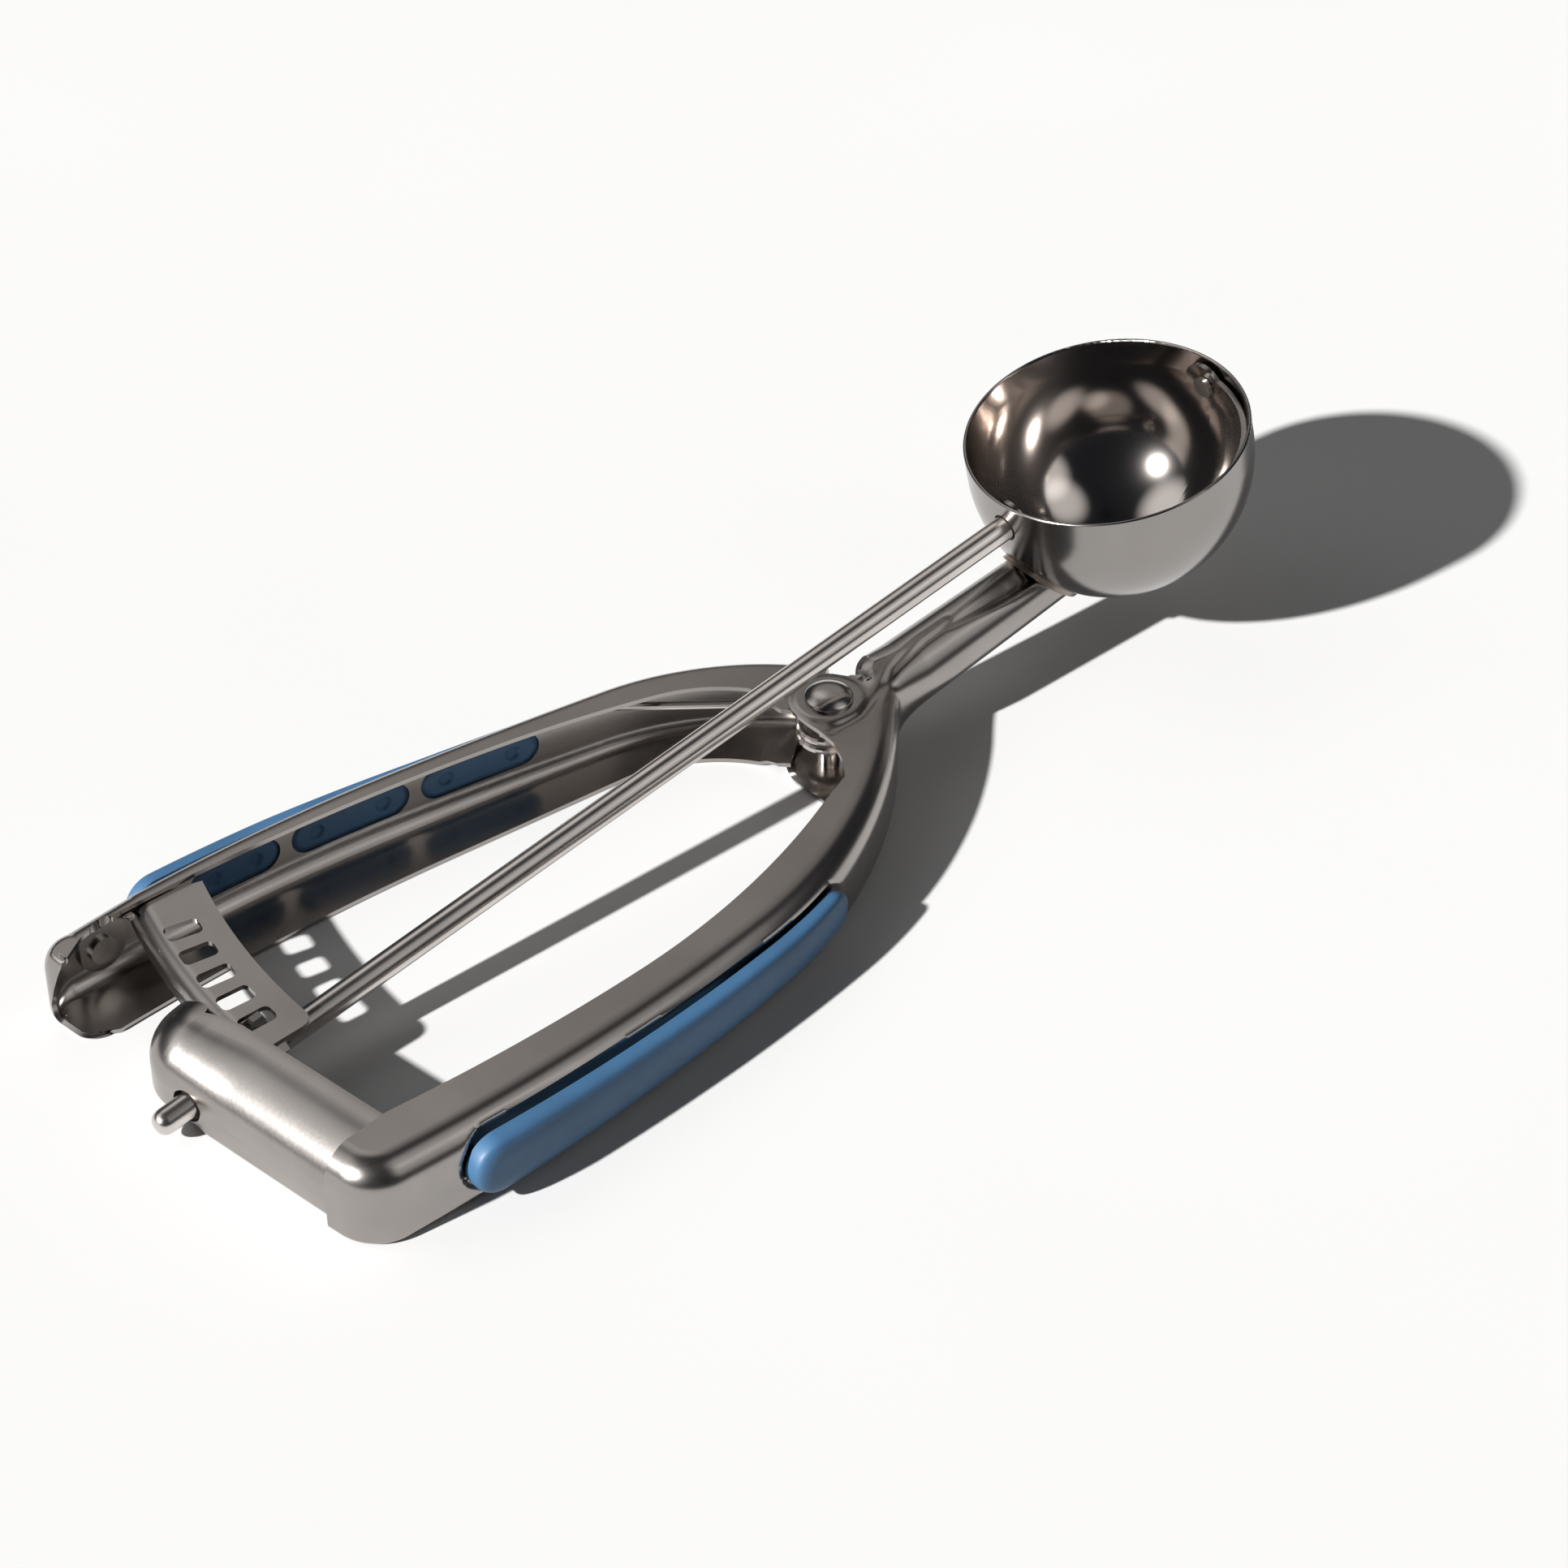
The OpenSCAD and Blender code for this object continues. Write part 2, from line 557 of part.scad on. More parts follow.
bowl();
neck_weld();
fixed_handle();
bridge();
fixed_grip();
pivot_rivet();
torsion_spring();
tip_rivet();
moving_handle();
rack();
rack_rivet();
moving_grip();
spindle();
pinion();
sweeper();
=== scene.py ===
import math

import bmesh
import bpy
import numpy as np
from mathutils import Matrix, Vector


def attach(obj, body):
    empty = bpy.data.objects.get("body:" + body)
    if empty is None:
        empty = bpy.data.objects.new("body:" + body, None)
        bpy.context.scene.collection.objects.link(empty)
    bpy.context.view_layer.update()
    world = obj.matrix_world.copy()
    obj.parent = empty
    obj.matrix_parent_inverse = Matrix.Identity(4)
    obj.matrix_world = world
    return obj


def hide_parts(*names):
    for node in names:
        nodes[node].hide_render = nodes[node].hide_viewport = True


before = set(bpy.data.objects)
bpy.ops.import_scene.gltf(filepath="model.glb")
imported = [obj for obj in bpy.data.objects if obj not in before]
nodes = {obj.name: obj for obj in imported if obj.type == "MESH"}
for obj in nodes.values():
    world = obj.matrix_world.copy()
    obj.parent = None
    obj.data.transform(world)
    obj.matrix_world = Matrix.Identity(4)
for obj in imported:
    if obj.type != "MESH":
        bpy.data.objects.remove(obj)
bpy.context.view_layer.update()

MM = 0.001
SHIFT = np.array([80.705, 1.59, 0.0])   # from the bowl's frame to the part's frame, in mm
BOWL_Z, BOWL_R = 32.36, 22.78           # height of the bowl's centre, and its outer radius
SHEET = 0.75                            # thickness of the handles' steel
PIVOT = np.array([-58.9, -0.4])         # the hinge rivet's axis in the plan
TILT = math.radians(8.838)              # slope of the spindle and the neck
AXIS = np.array([math.cos(TILT), 0, math.sin(TILT)])
FIXED_TOP, MOVING_TOP, BRIDGE_TOP = 14.2, 13.35, 13.45   # height of each sheet piece's top
CREASE = 38.0                           # edges that turn by more degrees than this stay sharp


# ---------------------------------------------------------------- materials
def add(tree, kind, **settings):
    node = tree.nodes.new(kind)
    for key, value in settings.items():
        setattr(node, key, value)
    return node


def ramp(tree, source, stops):
    node = add(tree, "ShaderNodeValToRGB")
    tree.links.new(source, node.inputs["Fac"])
    els = node.color_ramp.elements
    while len(els) < len(stops):
        els.new(0.5)
    for el, (pos, value) in zip(els, stops):
        el.position = pos
        el.color = (value, value, value, 1) if isinstance(value, float) else (*value, 1)
    return node.outputs["Color"]


def noise(tree, scale, detail=4.0, stretch=(1, 1, 1), turn=(0, 0, 0)):
    coords = add(tree, "ShaderNodeTexCoord")
    mapping = add(tree, "ShaderNodeMapping")
    mapping.inputs["Scale"].default_value = stretch
    mapping.inputs["Rotation"].default_value = turn
    tree.links.new(coords.outputs["Object"], mapping.inputs["Vector"])
    tex = add(tree, "ShaderNodeTexNoise")
    tex.inputs["Scale"].default_value = scale
    tex.inputs["Detail"].default_value = detail
    tree.links.new(mapping.outputs["Vector"], tex.inputs["Vector"])
    return tex.outputs["Fac"]


def bump(tree, shader, layers):
    last = None
    for source, strength, distance in layers:
        node = add(tree, "ShaderNodeBump")
        node.inputs["Strength"].default_value = strength
        node.inputs["Distance"].default_value = distance
        tree.links.new(source, node.inputs["Height"])
        if last is not None:
            tree.links.new(last, node.inputs["Normal"])
        last = node.outputs["Normal"]
    tree.links.new(last, shader.inputs["Normal"])


def new_material(name):
    mat = bpy.data.materials.new(name)
    mat.use_nodes = True
    tree = mat.node_tree
    return mat, tree, tree.nodes["Principled BSDF"]


def steel(name, colour, rough, grain, depth, stretch=(1, 1, 1), turn=(0, 0, 0), cloudy=0.06):
    """Stainless steel: a cloudy tone, and a fine grain in roughness and height."""
    mat, tree, shader = new_material(name)
    shader.inputs["Metallic"].default_value = 1.0
    cloud = noise(tree, 60.0, 3.0)
    fine = noise(tree, 1.0 / grain, 3.0, stretch, turn)
    dark = tuple(c * (1 - cloudy * 2) for c in colour)
    light = tuple(min(1.0, c * (1 + cloudy)) for c in colour)
    tree.links.new(ramp(tree, cloud, [(0.3, dark), (0.7, light)]), shader.inputs["Base Color"])
    tree.links.new(ramp(tree, fine, [(0.25, float(rough * 0.95)), (0.75, float(rough * 1.06))]),
                   shader.inputs["Roughness"])
    bump(tree, shader, [(fine, 0.03, depth)])
    return mat


def polish_and_paint_reflection_inside(mat, centre, rough, colour):
    """Makes the faces that look towards a point smoother than the others, and lighter by a painted reflection
    of the room they face.
    """
    tree = mat.node_tree
    shader = tree.nodes["Principled BSDF"]
    outer = shader.inputs["Roughness"].links[0].from_socket
    geometry = add(tree, "ShaderNodeNewGeometry")
    away = add(tree, "ShaderNodeVectorMath", operation="SUBTRACT")
    away.inputs[1].default_value = centre
    tree.links.new(geometry.outputs["Position"], away.inputs[0])
    facing = add(tree, "ShaderNodeVectorMath", operation="DOT_PRODUCT")
    tree.links.new(away.outputs["Vector"], facing.inputs[0])
    tree.links.new(geometry.outputs["Normal"], facing.inputs[1])
    inside = add(tree, "ShaderNodeMath", operation="LESS_THAN")
    inside.inputs[1].default_value = 0.0
    tree.links.new(facing.outputs["Value"], inside.inputs[0])
    mix = add(tree, "ShaderNodeMix")
    tree.links.new(inside.outputs["Value"], mix.inputs["Factor"])
    tree.links.new(outer, mix.inputs[2])
    mix.inputs[3].default_value = rough
    tree.links.new(mix.outputs[0], shader.inputs["Roughness"])
    # painted reflection: the inner faces get a lighter base colour that stands in for the room they reflect
    tone = add(tree, "ShaderNodeMix", data_type="RGBA")
    tree.links.new(inside.outputs["Value"], tone.inputs[0])
    tree.links.new(shader.inputs["Base Color"].links[0].from_socket, tone.inputs[6])
    tone.inputs[7].default_value = (*colour, 1.0)
    tree.links.new(tone.outputs[2], shader.inputs["Base Color"])


def rubber(name, colour, rough=0.5):
    mat, tree, shader = new_material(name)
    cloud = noise(tree, 90.0, 4.0)
    fine = noise(tree, 3500.0, 2.0)
    dark = tuple(c * 0.9 for c in colour)
    light = tuple(min(1.0, c * 1.08) for c in colour)
    tree.links.new(ramp(tree, cloud, [(0.35, dark), (0.65, light)]), shader.inputs["Base Color"])
    tree.links.new(ramp(tree, fine, [(0.3, float(rough * 0.9)), (0.7, float(rough * 1.1))]),
                   shader.inputs["Roughness"])
    shader.inputs["Specular IOR Level"].default_value = 0.4
    bump(tree, shader, [(fine, 0.12, 0.00002)])
    return mat


SATIN = steel("satin_steel", (0.365, 0.342, 0.325), 0.25, 0.0005, 0.000003)
BOWL = steel("bowl_steel", (0.315, 0.297, 0.283), 0.20, 0.0005, 0.000002, cloudy=0.04)
# the bowl's inside is smoother, and its lighter colour there is a painted reflection
polish_and_paint_reflection_inside(BOWL, tuple((np.array([0, 0, BOWL_Z]) + SHIFT) * MM), 0.10, (0.62, 0.57, 0.535))
ROD = steel("rod_steel", (0.66, 0.615, 0.585), 0.24, 0.0004, 0.000001, (0.06, 1, 1), (0, 0.154, 0))
POLISHED = steel("polished_steel", (0.50, 0.475, 0.45), 0.20, 0.0004, 0.000001)
STAMPED = steel("stamped_steel", (0.40, 0.37, 0.35), 0.27, 0.0005, 0.000001)
WELD = steel("weld_steel", (0.36, 0.31, 0.27), 0.34, 0.0009, 0.00006, cloudy=0.2)
BLUE = rubber("grip_blue", (0.032, 0.092, 0.180))

for name, mat in {
    "bowl": BOWL, "neck_weld": WELD, "fixed_handle": SATIN, "bridge": SATIN, "fixed_grip": BLUE,
    "pivot_rivet": POLISHED, "torsion_spring": ROD, "tip_rivet": POLISHED, "moving_handle": SATIN,
    "rack": STAMPED, "rack_rivet": POLISHED, "moving_grip": BLUE, "spindle": ROD, "pinion": STAMPED,
    "sweeper": BOWL,
}.items():
    data = nodes[name].data
    data.materials.clear()
    data.materials.append(mat)


# ---------------------------------------------------------------- sheet-metal forms
# Plan coordinates below are in mm in the bowl's frame, as SHIFT says.
def ahead(deg):
    return np.array([math.cos(math.radians(deg)), math.sin(math.radians(deg))])


def left(deg):
    return np.array([-math.sin(math.radians(deg)), math.cos(math.radians(deg))])


def follow(start, heading, runs, step):
    """Points and headings along a chain of straight runs [0, length] and arcs [radius, degrees]."""
    points, headings = [np.array(start, float)], [heading]
    p, h = np.array(start, float), heading
    for radius, amount in runs:
        length = amount if radius == 0 else abs(radius * math.radians(amount))
        n = max(2, int(round(length / step)))
        for i in range(1, n + 1):
            if radius == 0:
                q, a = p + ahead(h) * amount * i / n, h
            else:
                a = h + amount * i / n
                q = p + radius * left(h) - radius * left(a)
            points.append(q)
            headings.append(a)
        p, h = points[-1], headings[-1]
    return np.array(points), np.array(headings)


def smooth(x, lo, hi):
    t = np.clip((np.asarray(x, float) - lo) / (hi - lo), 0, 1)
    return t * t * (3 - 2 * t)


def away_from(line, x, y):
    """Distance from points to a polyline in the plan."""
    best = np.full(np.shape(x), 1e9)
    for (ax, ay), (bx, by) in zip(line[:-1], line[1:]):
        dx, dy = bx - ax, by - ay
        t = np.clip(((x - ax) * dx + (y - ay) * dy) / (dx * dx + dy * dy), 0, 1)
        best = np.minimum(best, np.hypot(x - ax - t * dx, y - ay - t * dy))
    return best


def distances(line):
    """Distance of each point of a polyline from its first point, along the line."""
    return np.concatenate([[0], np.cumsum(np.linalg.norm(np.diff(line, axis=0), axis=1))])


def at(where, run, line):
    """Points of a polyline at given distances along it."""
    return np.column_stack([np.interp(where, run, line[:, c]) for c in range(line.shape[1])])


def ray_out(origin, direction, outline):
    """How far a ray runs inside a closed outline before it leaves it for the last time."""
    far = 0.0
    for a, b in zip(outline, np.roll(outline, -1, axis=0)):
        e = b - a
        det = direction[0] * -e[1] + e[0] * direction[1]
        if abs(det) < 1e-9:
            continue
        w = a - origin
        u = (w[0] * -e[1] + e[0] * w[1]) / det
        v = (direction[0] * w[1] - w[0] * direction[1]) / det
        if 0 <= v <= 1 and u > far:
            far = u
    return far


COUNTS = (48, 12, 32, 10, 16)   # points over the top, its rounding, the wall, the low rounding, the floor


def section(wall, inward, top_edge, low_edge, z0, z1, r_top, r_low):
    """One section of a channel, from its upper free edge round the wall to its lower free edge."""
    out = []
    rh, rv = r_top if isinstance(r_top, tuple) else (r_top, r_top)
    a = np.append(wall + inward * rh, z1)
    for t in np.linspace(0, 1, COUNTS[0], endpoint=False):
        out.append(np.append(top_edge, z1) * (1 - t) + a * t)
    for ang in np.linspace(90, 0, COUNTS[1], endpoint=False):
        c, s = math.cos(math.radians(ang)), math.sin(math.radians(ang))
        out.append(np.append(wall + inward * (rh - rh * c), z1 - rv + rv * s))
    for t in np.linspace(0, 1, COUNTS[2], endpoint=False):
        out.append(np.append(wall, (z1 - rv) * (1 - t) + (z0 + r_low) * t))
    for ang in np.linspace(0, -90, COUNTS[3], endpoint=False):
        c, s = math.cos(math.radians(ang)), math.sin(math.radians(ang))
        out.append(np.append(wall + inward * (r_low - r_low * c), z0 + r_low + r_low * s))
    b = np.append(wall + inward * r_low, z0)
    for t in np.linspace(0, 1, COUNTS[4]):
        out.append(b * (1 - t) + np.append(low_edge, z0) * t)
    return np.array(out)


def normals(grid):
    du = np.gradient(grid, axis=0)
    dv = np.gradient(grid, axis=1)
    n = np.cross(du, dv)
    size = np.linalg.norm(n, axis=2, keepdims=True)
    return n / np.maximum(size, 1e-9)


def new_mesh(name, verts, faces):
    """A mesh in the part's frame, with its faces turned outwards."""
    mesh = bpy.data.meshes.new(name)
    place = (np.asarray(verts, float) + SHIFT) * MM
    mesh.from_pydata([tuple(v) for v in place], [], [tuple(int(i) for i in f) for f in faces])
    mesh.validate()
    bm = bmesh.new()
    bm.from_mesh(mesh)
    bmesh.ops.recalc_face_normals(bm, faces=bm.faces)
    bm.to_mesh(mesh)
    bm.free()
    return mesh


def make_object(name, verts, faces, mat, body, *stands_for, sharp=CREASE):
    """A new piece that rides on a body and stands for the CAD nodes named."""
    mesh = new_mesh(name, verts, faces)
    mesh.materials.append(mat)
    mesh.polygons.foreach_set("use_smooth", [True] * len(mesh.polygons))
    mesh.set_sharp_from_angle(angle=math.radians(sharp))
    obj = bpy.data.objects.new(name, mesh)
    bpy.context.scene.collection.objects.link(obj)
    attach(obj, body)
    if stands_for:
        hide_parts(*stands_for)
    return obj


def sheet_metal(name, grids, thick, sides, mat, body, *stands_for):
    """Grids of points given a thickness towards each side (+1 or -1 along its normals), with closed rims."""
    verts, faces = np.zeros((0, 3)), []
    for grid, side in zip(grids, sides):
        n, m = grid.shape[:2]
        first, k = len(verts), n * m
        inner = grid + normals(grid) * thick * side
        # where the inner layer would lie below the table, its thickness goes upwards
        inner[..., 2] = np.where(inner[..., 2] < -0.01, grid[..., 2] + thick, inner[..., 2])
        verts = np.concatenate([verts, grid.reshape(-1, 3), inner.reshape(-1, 3)])
        for i in range(n - 1):
            for j in range(m - 1):
                a = first + i * m + j
                b, c, d = a + 1, a + m + 1, a + m
                faces += [(a, b, c, d), (k + d, k + c, k + b, k + a)]
        rims = ([i * m for i in range(n)], [i * m + m - 1 for i in range(n)],
                list(range(m)), [(n - 1) * m + j for j in range(m)])
        for line in rims:
            for a, b in zip(line[:-1], line[1:]):
                faces.append((first + a, first + b, first + k + b, first + k + a))
    return make_object(name, verts, faces, mat, body, *stands_for)


def turned(name, profile, base, axis, mat, body, *stands_for):
    """A turned piece. Its profile is a list of (distance along the axis, radius)."""
    axis = np.array(axis) / np.linalg.norm(axis)
    u = np.array([0.0, 1.0, 0.0])
    v = np.cross(axis, u)
    count = 72
    verts, faces = [], []
    for d, r in profile:
        for i in range(count):
            a = 2 * math.pi * i / count
            verts.append(np.array(base) + axis * d + max(r, 0.001) * (math.cos(a) * u + math.sin(a) * v))
    for k in range(len(profile) - 1):
        for i in range(count):
            j = (i + 1) % count
            faces.append((k * count + i, k * count + j, (k + 1) * count + j, (k + 1) * count + i))
    faces += [tuple(range(count)), tuple(range(len(verts) - count, len(verts)))]
    return make_object(name, verts, faces, mat, body, *stands_for)


def circle_arc(centre, r, a0, a1, n):
    return [np.array(centre) + r * ahead(a) for a in np.linspace(a0, a1, n)]


# Fixed handle: one stamping from the rear corner to the bowl
def grip_shape(x, z, x0, x1):
    """Distance outside a grip's outline on the wall; the outline tapers between two round ends."""
    (ar, az), (br, bz) = GRIP_REAR, GRIP_FRONT
    ax, bx = x0 + ar, x1 - br
    t = np.clip(((x - ax) * (bx - ax) + (z - az) * (bz - az)) / ((bx - ax) ** 2 + (bz - az) ** 2), 0, 1)
    return np.hypot(x - ax - t * (bx - ax), z - az - t * (bz - az)) - (ar + t * (br - ar))


NECK_Y, NECK_Z = -0.3, 17.58            # the neck's centreline, its height carried on to x = 0
NECK_REAR, NECK_FRONT = -47.5, -22.0    # ends of the neck's taper
R_REAR, R_FRONT = 5.65, 5.15            # the neck's outer radius there
SEAM = 108.0                            # angle on the tube where its near and far sides meet
EAR_END = -49.0                         # the flat channel's form ends here
TUBE_START, TUBE_ROWS = -44.0, 70       # the plain round tube begins here


def neck_radius(x):
    return R_REAR + (R_FRONT - R_REAR) * (x - NECK_REAR) / (NECK_FRONT - NECK_REAR)


def neck_height(x):
    return NECK_Z + math.tan(TILT) * x


def on_tube(x, angle):
    """A point of the neck's outer face, with the angle taken from its near side upwards."""
    r, a = neck_radius(x), math.radians(angle)
    return np.array([x, NECK_Y - r * math.cos(a), neck_height(x) + r / math.cos(TILT) * math.sin(a)])


FIXED_START, FIXED_HEAD = (-176.1, -29.0), -79.5
FIXED_RUNS = [(0, 2.4), (8, 76.1), (322.6, 12.28), (80.6, 42.27)]
FIXED_GRIP, MOVING_GRIP = (-158.5, -82.5), (-164.5, -84.0)   # rear and front end of each grip
GRIP_REAR, GRIP_FRONT = (4.9, 7.1), (3.4, 7.7)               # radius and height of its two round ends
EAR_LINE = [(-73.8, -17.5), (-68.5, -15.4), (-66.5, -12.3), (-65.0, -8.6), (-64.8, -5.1), (-65.05, -1.5)]
VALLEY = [(-63.5, -6.4), (-57.5, -6.2), (-51.3, -3.9), (-47.3, -2.2), (-40.5, -0.9), (-35.0, -0.8)]


def fixed_handle():
    """One stamping: the rear corner, the bowed channel, the ears and the rolled neck."""
    points, headings = follow(FIXED_START, FIXED_HEAD, FIXED_RUNS, 0.45)
    run = distances(points)
    corner_end = FIXED_RUNS[0][1] + FIXED_RUNS[1][0] * math.radians(FIXED_RUNS[1][1])
    edge, _ = follow((-163.9, -27.4), -5, [(322, 8), (128, 20.8)], 0.5)
    outline = np.array(list(edge[:-1]) + [np.array(p) for p in EAR_LINE]
                       + circle_arc(PIVOT, 6.2, 190, 20, 40)
                       + [np.array(p) for p in [(-52.6, 1.9), (-51.4, 0.8), (-48.5, 9.0), (-30, 9.0),
                                                (-30, -60), (-200, -60), (-200, -27)]])
    edge_run = distances(edge)

    def on_edge(s):
        return np.array([np.interp(s, edge_run, edge[:, 0]), np.interp(s, edge_run, edge[:, 1])])

    def radius(x):
        return float(np.interp(x, [-168, -139, -117, -98, -74, -62, -49],
                               [4.9, 4.9, 4.6, 4.4, 4.4, 4.1, 3.4]))

    def low_radius(x):
        return float(np.interp(x, [-172, -140, -70], [1.3, 2.2, 3.0]))

    # where the inward ray of the station 15 mm past the corner meets the edge
    settle = corner_end + 15
    i = int(np.argmin(abs(run - settle)))
    hit = points[i] + left(headings[i]) * ray_out(points[i], left(headings[i]), outline)
    hit_run = float(edge_run[np.argmin(np.linalg.norm(edge - hit, axis=1))])
    rows = []
    for s, p, h in zip(run, points, headings):
        if s < settle:
            e = on_edge(np.interp(s, [0, corner_end, settle], [0, 1.2, hit_run]))
        else:
            e = p + left(h) * ray_out(p, left(h), outline)
        rows.append(section(p, left(h), e, e, 0.0, FIXED_TOP, radius(p[0]), low_radius(p[0])))
    # fan round the concave corner where the wall turns into the neck
    rho = 0.9
    end, turn = points[-1], headings[-1]
    centre = end - rho * left(turn)
    total = sum(COUNTS)

    def tube(x, a_start):
        """Depth behind the tube's near side, height and angle of a section of the tube."""
        r = neck_radius(x)
        zc = neck_height(x)
        ang = np.concatenate([
            a_start + (72 - a_start) * np.linspace(0, 1, COUNTS[0], endpoint=False),
            np.linspace(72, 26, COUNTS[1], endpoint=False), np.linspace(26, -30, COUNTS[2], endpoint=False),
            np.linspace(-30, -75, COUNTS[3], endpoint=False), np.linspace(-75, -128, COUNTS[4])])
        a = np.radians(ang)
        return r - r * np.cos(a), zc + r / math.cos(TILT) * np.sin(a), ang

    def mixed(p, h, q):
        """A section that turns from the flat channel to the round tube as q goes to 1."""
        inward = left(h)
        reach = ray_out(p, inward, outline) if q < 0.62 else 6.8
        e = p + inward * reach
        flat = section(p, inward, e, e, 0.0, FIXED_TOP, 3.2, 3.0)
        w = float(smooth(q, 0.40, 1.06))
        u, z, _ = tube(max(p[0], EAR_END), SEAM)
        round_ = np.column_stack([p[0] + inward[0] * u, p[1] + inward[1] * u, z])
        return flat * (1 - w) + round_ * w

    for q in np.linspace(0, 1, 40)[1:]:
        h = turn * (1 - q)
        rows.append(mixed(centre + rho * left(h), h, q))
    x = rows[-1][COUNTS[0] + COUNTS[1] + 5][0]
    y0 = (centre + rho * left(0))[1]
    for x in np.arange(x + 0.4, TUBE_START, 0.4):
        wall = np.array([x, np.interp(x, [EAR_END, TUBE_START], [y0, NECK_Y - neck_radius(TUBE_START)])])
        rows.append(mixed(wall, 0.0, 1 + (x - EAR_END) / 16.0))
    # plain tube as far as the bowl, its end cut to the bowl's round
    angles = tube(TUBE_START, SEAM)[2]

    def bowl_cut(angle):
        """Where the tube's line at an angle meets the bowl."""
        xe = -20.0
        for _ in range(30):
            p = on_tube(xe, angle)
            xe = -math.sqrt(max(1.0, BOWL_R ** 2 - p[1] ** 2 - (p[2] - BOWL_Z) ** 2))
        return xe

    ends = np.array([bowl_cut(a) for a in angles])
    for f in np.linspace(0, 1, TUBE_ROWS):
        rows.append(np.array([on_tube(TUBE_START + (e - TUBE_START) * f, a) for e, a in zip(ends, angles)]))
    grid = np.array(rows)
    # the corner into the neck flows softly
    index = np.arange(len(grid))
    near, past = len(points) - 18, len(points) + 54
    soft = np.clip(np.minimum(index - near, past - index) / 10.0, 0, 1) * 0.5
    column = np.arange(total)
    across = smooth(column, 22, COUNTS[0]) * (1 - smooth(column, total - COUNTS[4], total - 4))
    for _ in range(400):
        grid[1:-1] += ((grid[:-2] + grid[2:]) / 2 - grid[1:-1]) * (soft[1:-1, None] * across)[..., None]
    # far side of the tube, open at its rear end
    first = int(np.argmax(grid[:, 0, 0] > -48.4))
    far_angles = np.linspace(232, SEAM, 30)
    far_ends = [bowl_cut(a) for a in far_angles]
    far = []
    for i in range(first, len(grid)):
        edge_point = grid[i, 0]
        plain = i - (len(grid) - TUBE_ROWS)
        f = max(0.0, plain / (TUBE_ROWS - 1.0))
        row = np.array([on_tube(edge_point[0] if plain < 0 else TUBE_START + (e - TUBE_START) * f, a)
                        for a, e in zip(far_angles, far_ends)])
        fade = smooth(far_angles, 150, SEAM)[:, None]
        far.append(row + (edge_point - row[-1]) * fade)
    far = np.array(far)
    x, y, z = grid[..., 0], grid[..., 1], grid[..., 2]
    top = np.zeros(total, bool)
    top[:COUNTS[0] + COUNTS[1] // 2] = True
    upper = top[None, :] & (z > np.where(x > -50, NECK_Z + 0.1555 * x + 2.5, 10))
    # raised lobe round the rivet, and a valley that runs on into the neck
    d = np.hypot(x - PIVOT[0], y - PIVOT[1])
    lift = 0.3 * (1 - smooth(d, 4.9, 6.3))
    ditch = 0.34 * np.exp(-(away_from(VALLEY, x, y) / 0.85) ** 2)
    ditch *= 1 - smooth(x, -44, -36) * 0.3
    grid[..., 2] = z + np.where(upper, lift - ditch, 0.0)
    low = np.zeros(total, bool)
    low[-COUNTS[4]:] = True
    grid[..., 2] += np.where(low[None, :] & (z < 1), 0.9 * (1 - smooth(d, 3.9, 7.4)), 0.0)
    # pressed dent on the neck, near the bowl
    side = y - NECK_Y
    t = np.clip((x + 36.5) / 13.5, 0, 1)
    dent = 1.9 * t * np.exp(-((side + 1.7) / (0.5 + 0.9 * t)) ** 2) * smooth(z - neck_height(x), 0.8, 2.6)
    grid[..., 2] -= np.where(x > -36.4, dent, 0.0)
    # recess for the grip
    wall_cols = np.zeros(total, bool)
    wall_cols[COUNTS[0]:-COUNTS[4]] = True
    inside = 1 - smooth(grip_shape(x, z, *FIXED_GRIP), 0.25, 1.05)
    n = normals(grid)
    flip = 1.0 if n[len(points) // 2, COUNTS[0] + COUNTS[1] + 5, 1] > 0 else -1.0
    press = np.where(wall_cols[None, :] & (x < -70), inside, 0.0)[..., None]
    grid = grid + n * flip * press * 0.8
    m = normals(far)
    out = far[5, 15] - np.array([far[5, 15][0], NECK_Y, neck_height(far[5, 15][0])])
    far_side = -1.0 if float(np.dot(m[5, 15], out)) > 0 else 1.0
    return sheet_metal("fixed_handle_sheet", [grid, far], SHEET, [flip, far_side], SATIN, "fixed_side",
                       "fixed_handle")


fixed_handle()


# Moving handle: an open channel with a narrow upper lip and a wide lower flange
MOVING_START, MOVING_HEAD = (-180.15, -34.74), -3.5
MOVING_RUNS = [(294, 11.56), (769, 2.89), (50, 42)]
WINDOWS = [(-154.6, -138.6), (-136.6, -116.3), (-114.3, -94.0)]
WINDOW_Z, WINDOW_R = (3.7, 9.9), 3.1   # their lower and upper edge, and their corner radius


def flipped(points):
    out = np.array(points, float)
    out[..., 1] *= -1
    return out


def moving_wall():
    """The moving handle's wall. At the rear it curls inward, along the lower flange's rear edge."""
    points, headings = follow(MOVING_START, MOVING_HEAD, MOVING_RUNS, 0.5)
    k = int(np.argmax(points[:, 0] > -176.2))
    h = headings[k]
    runs = [(3.2, 79.7), (0, 3.9), (4.6, 97)]
    turn = sum(amount for radius, amount in runs if radius)
    end, _ = follow((0, 0), h - turn, runs, 0.3)
    curl, curl_headings = follow(points[k] - end[-1], h - turn, runs, 0.3)
    points = np.concatenate([curl[:-1], points[k:]])
    headings = np.concatenate([curl_headings[:-1], headings[k:]])
    return points, headings, len(curl) - 1


def resampled(line, start, count):
    """Evenly spaced points of a polyline from a distance along it to its end."""
    run = distances(line)
    return at(np.linspace(start, run[-1], count), run, line)


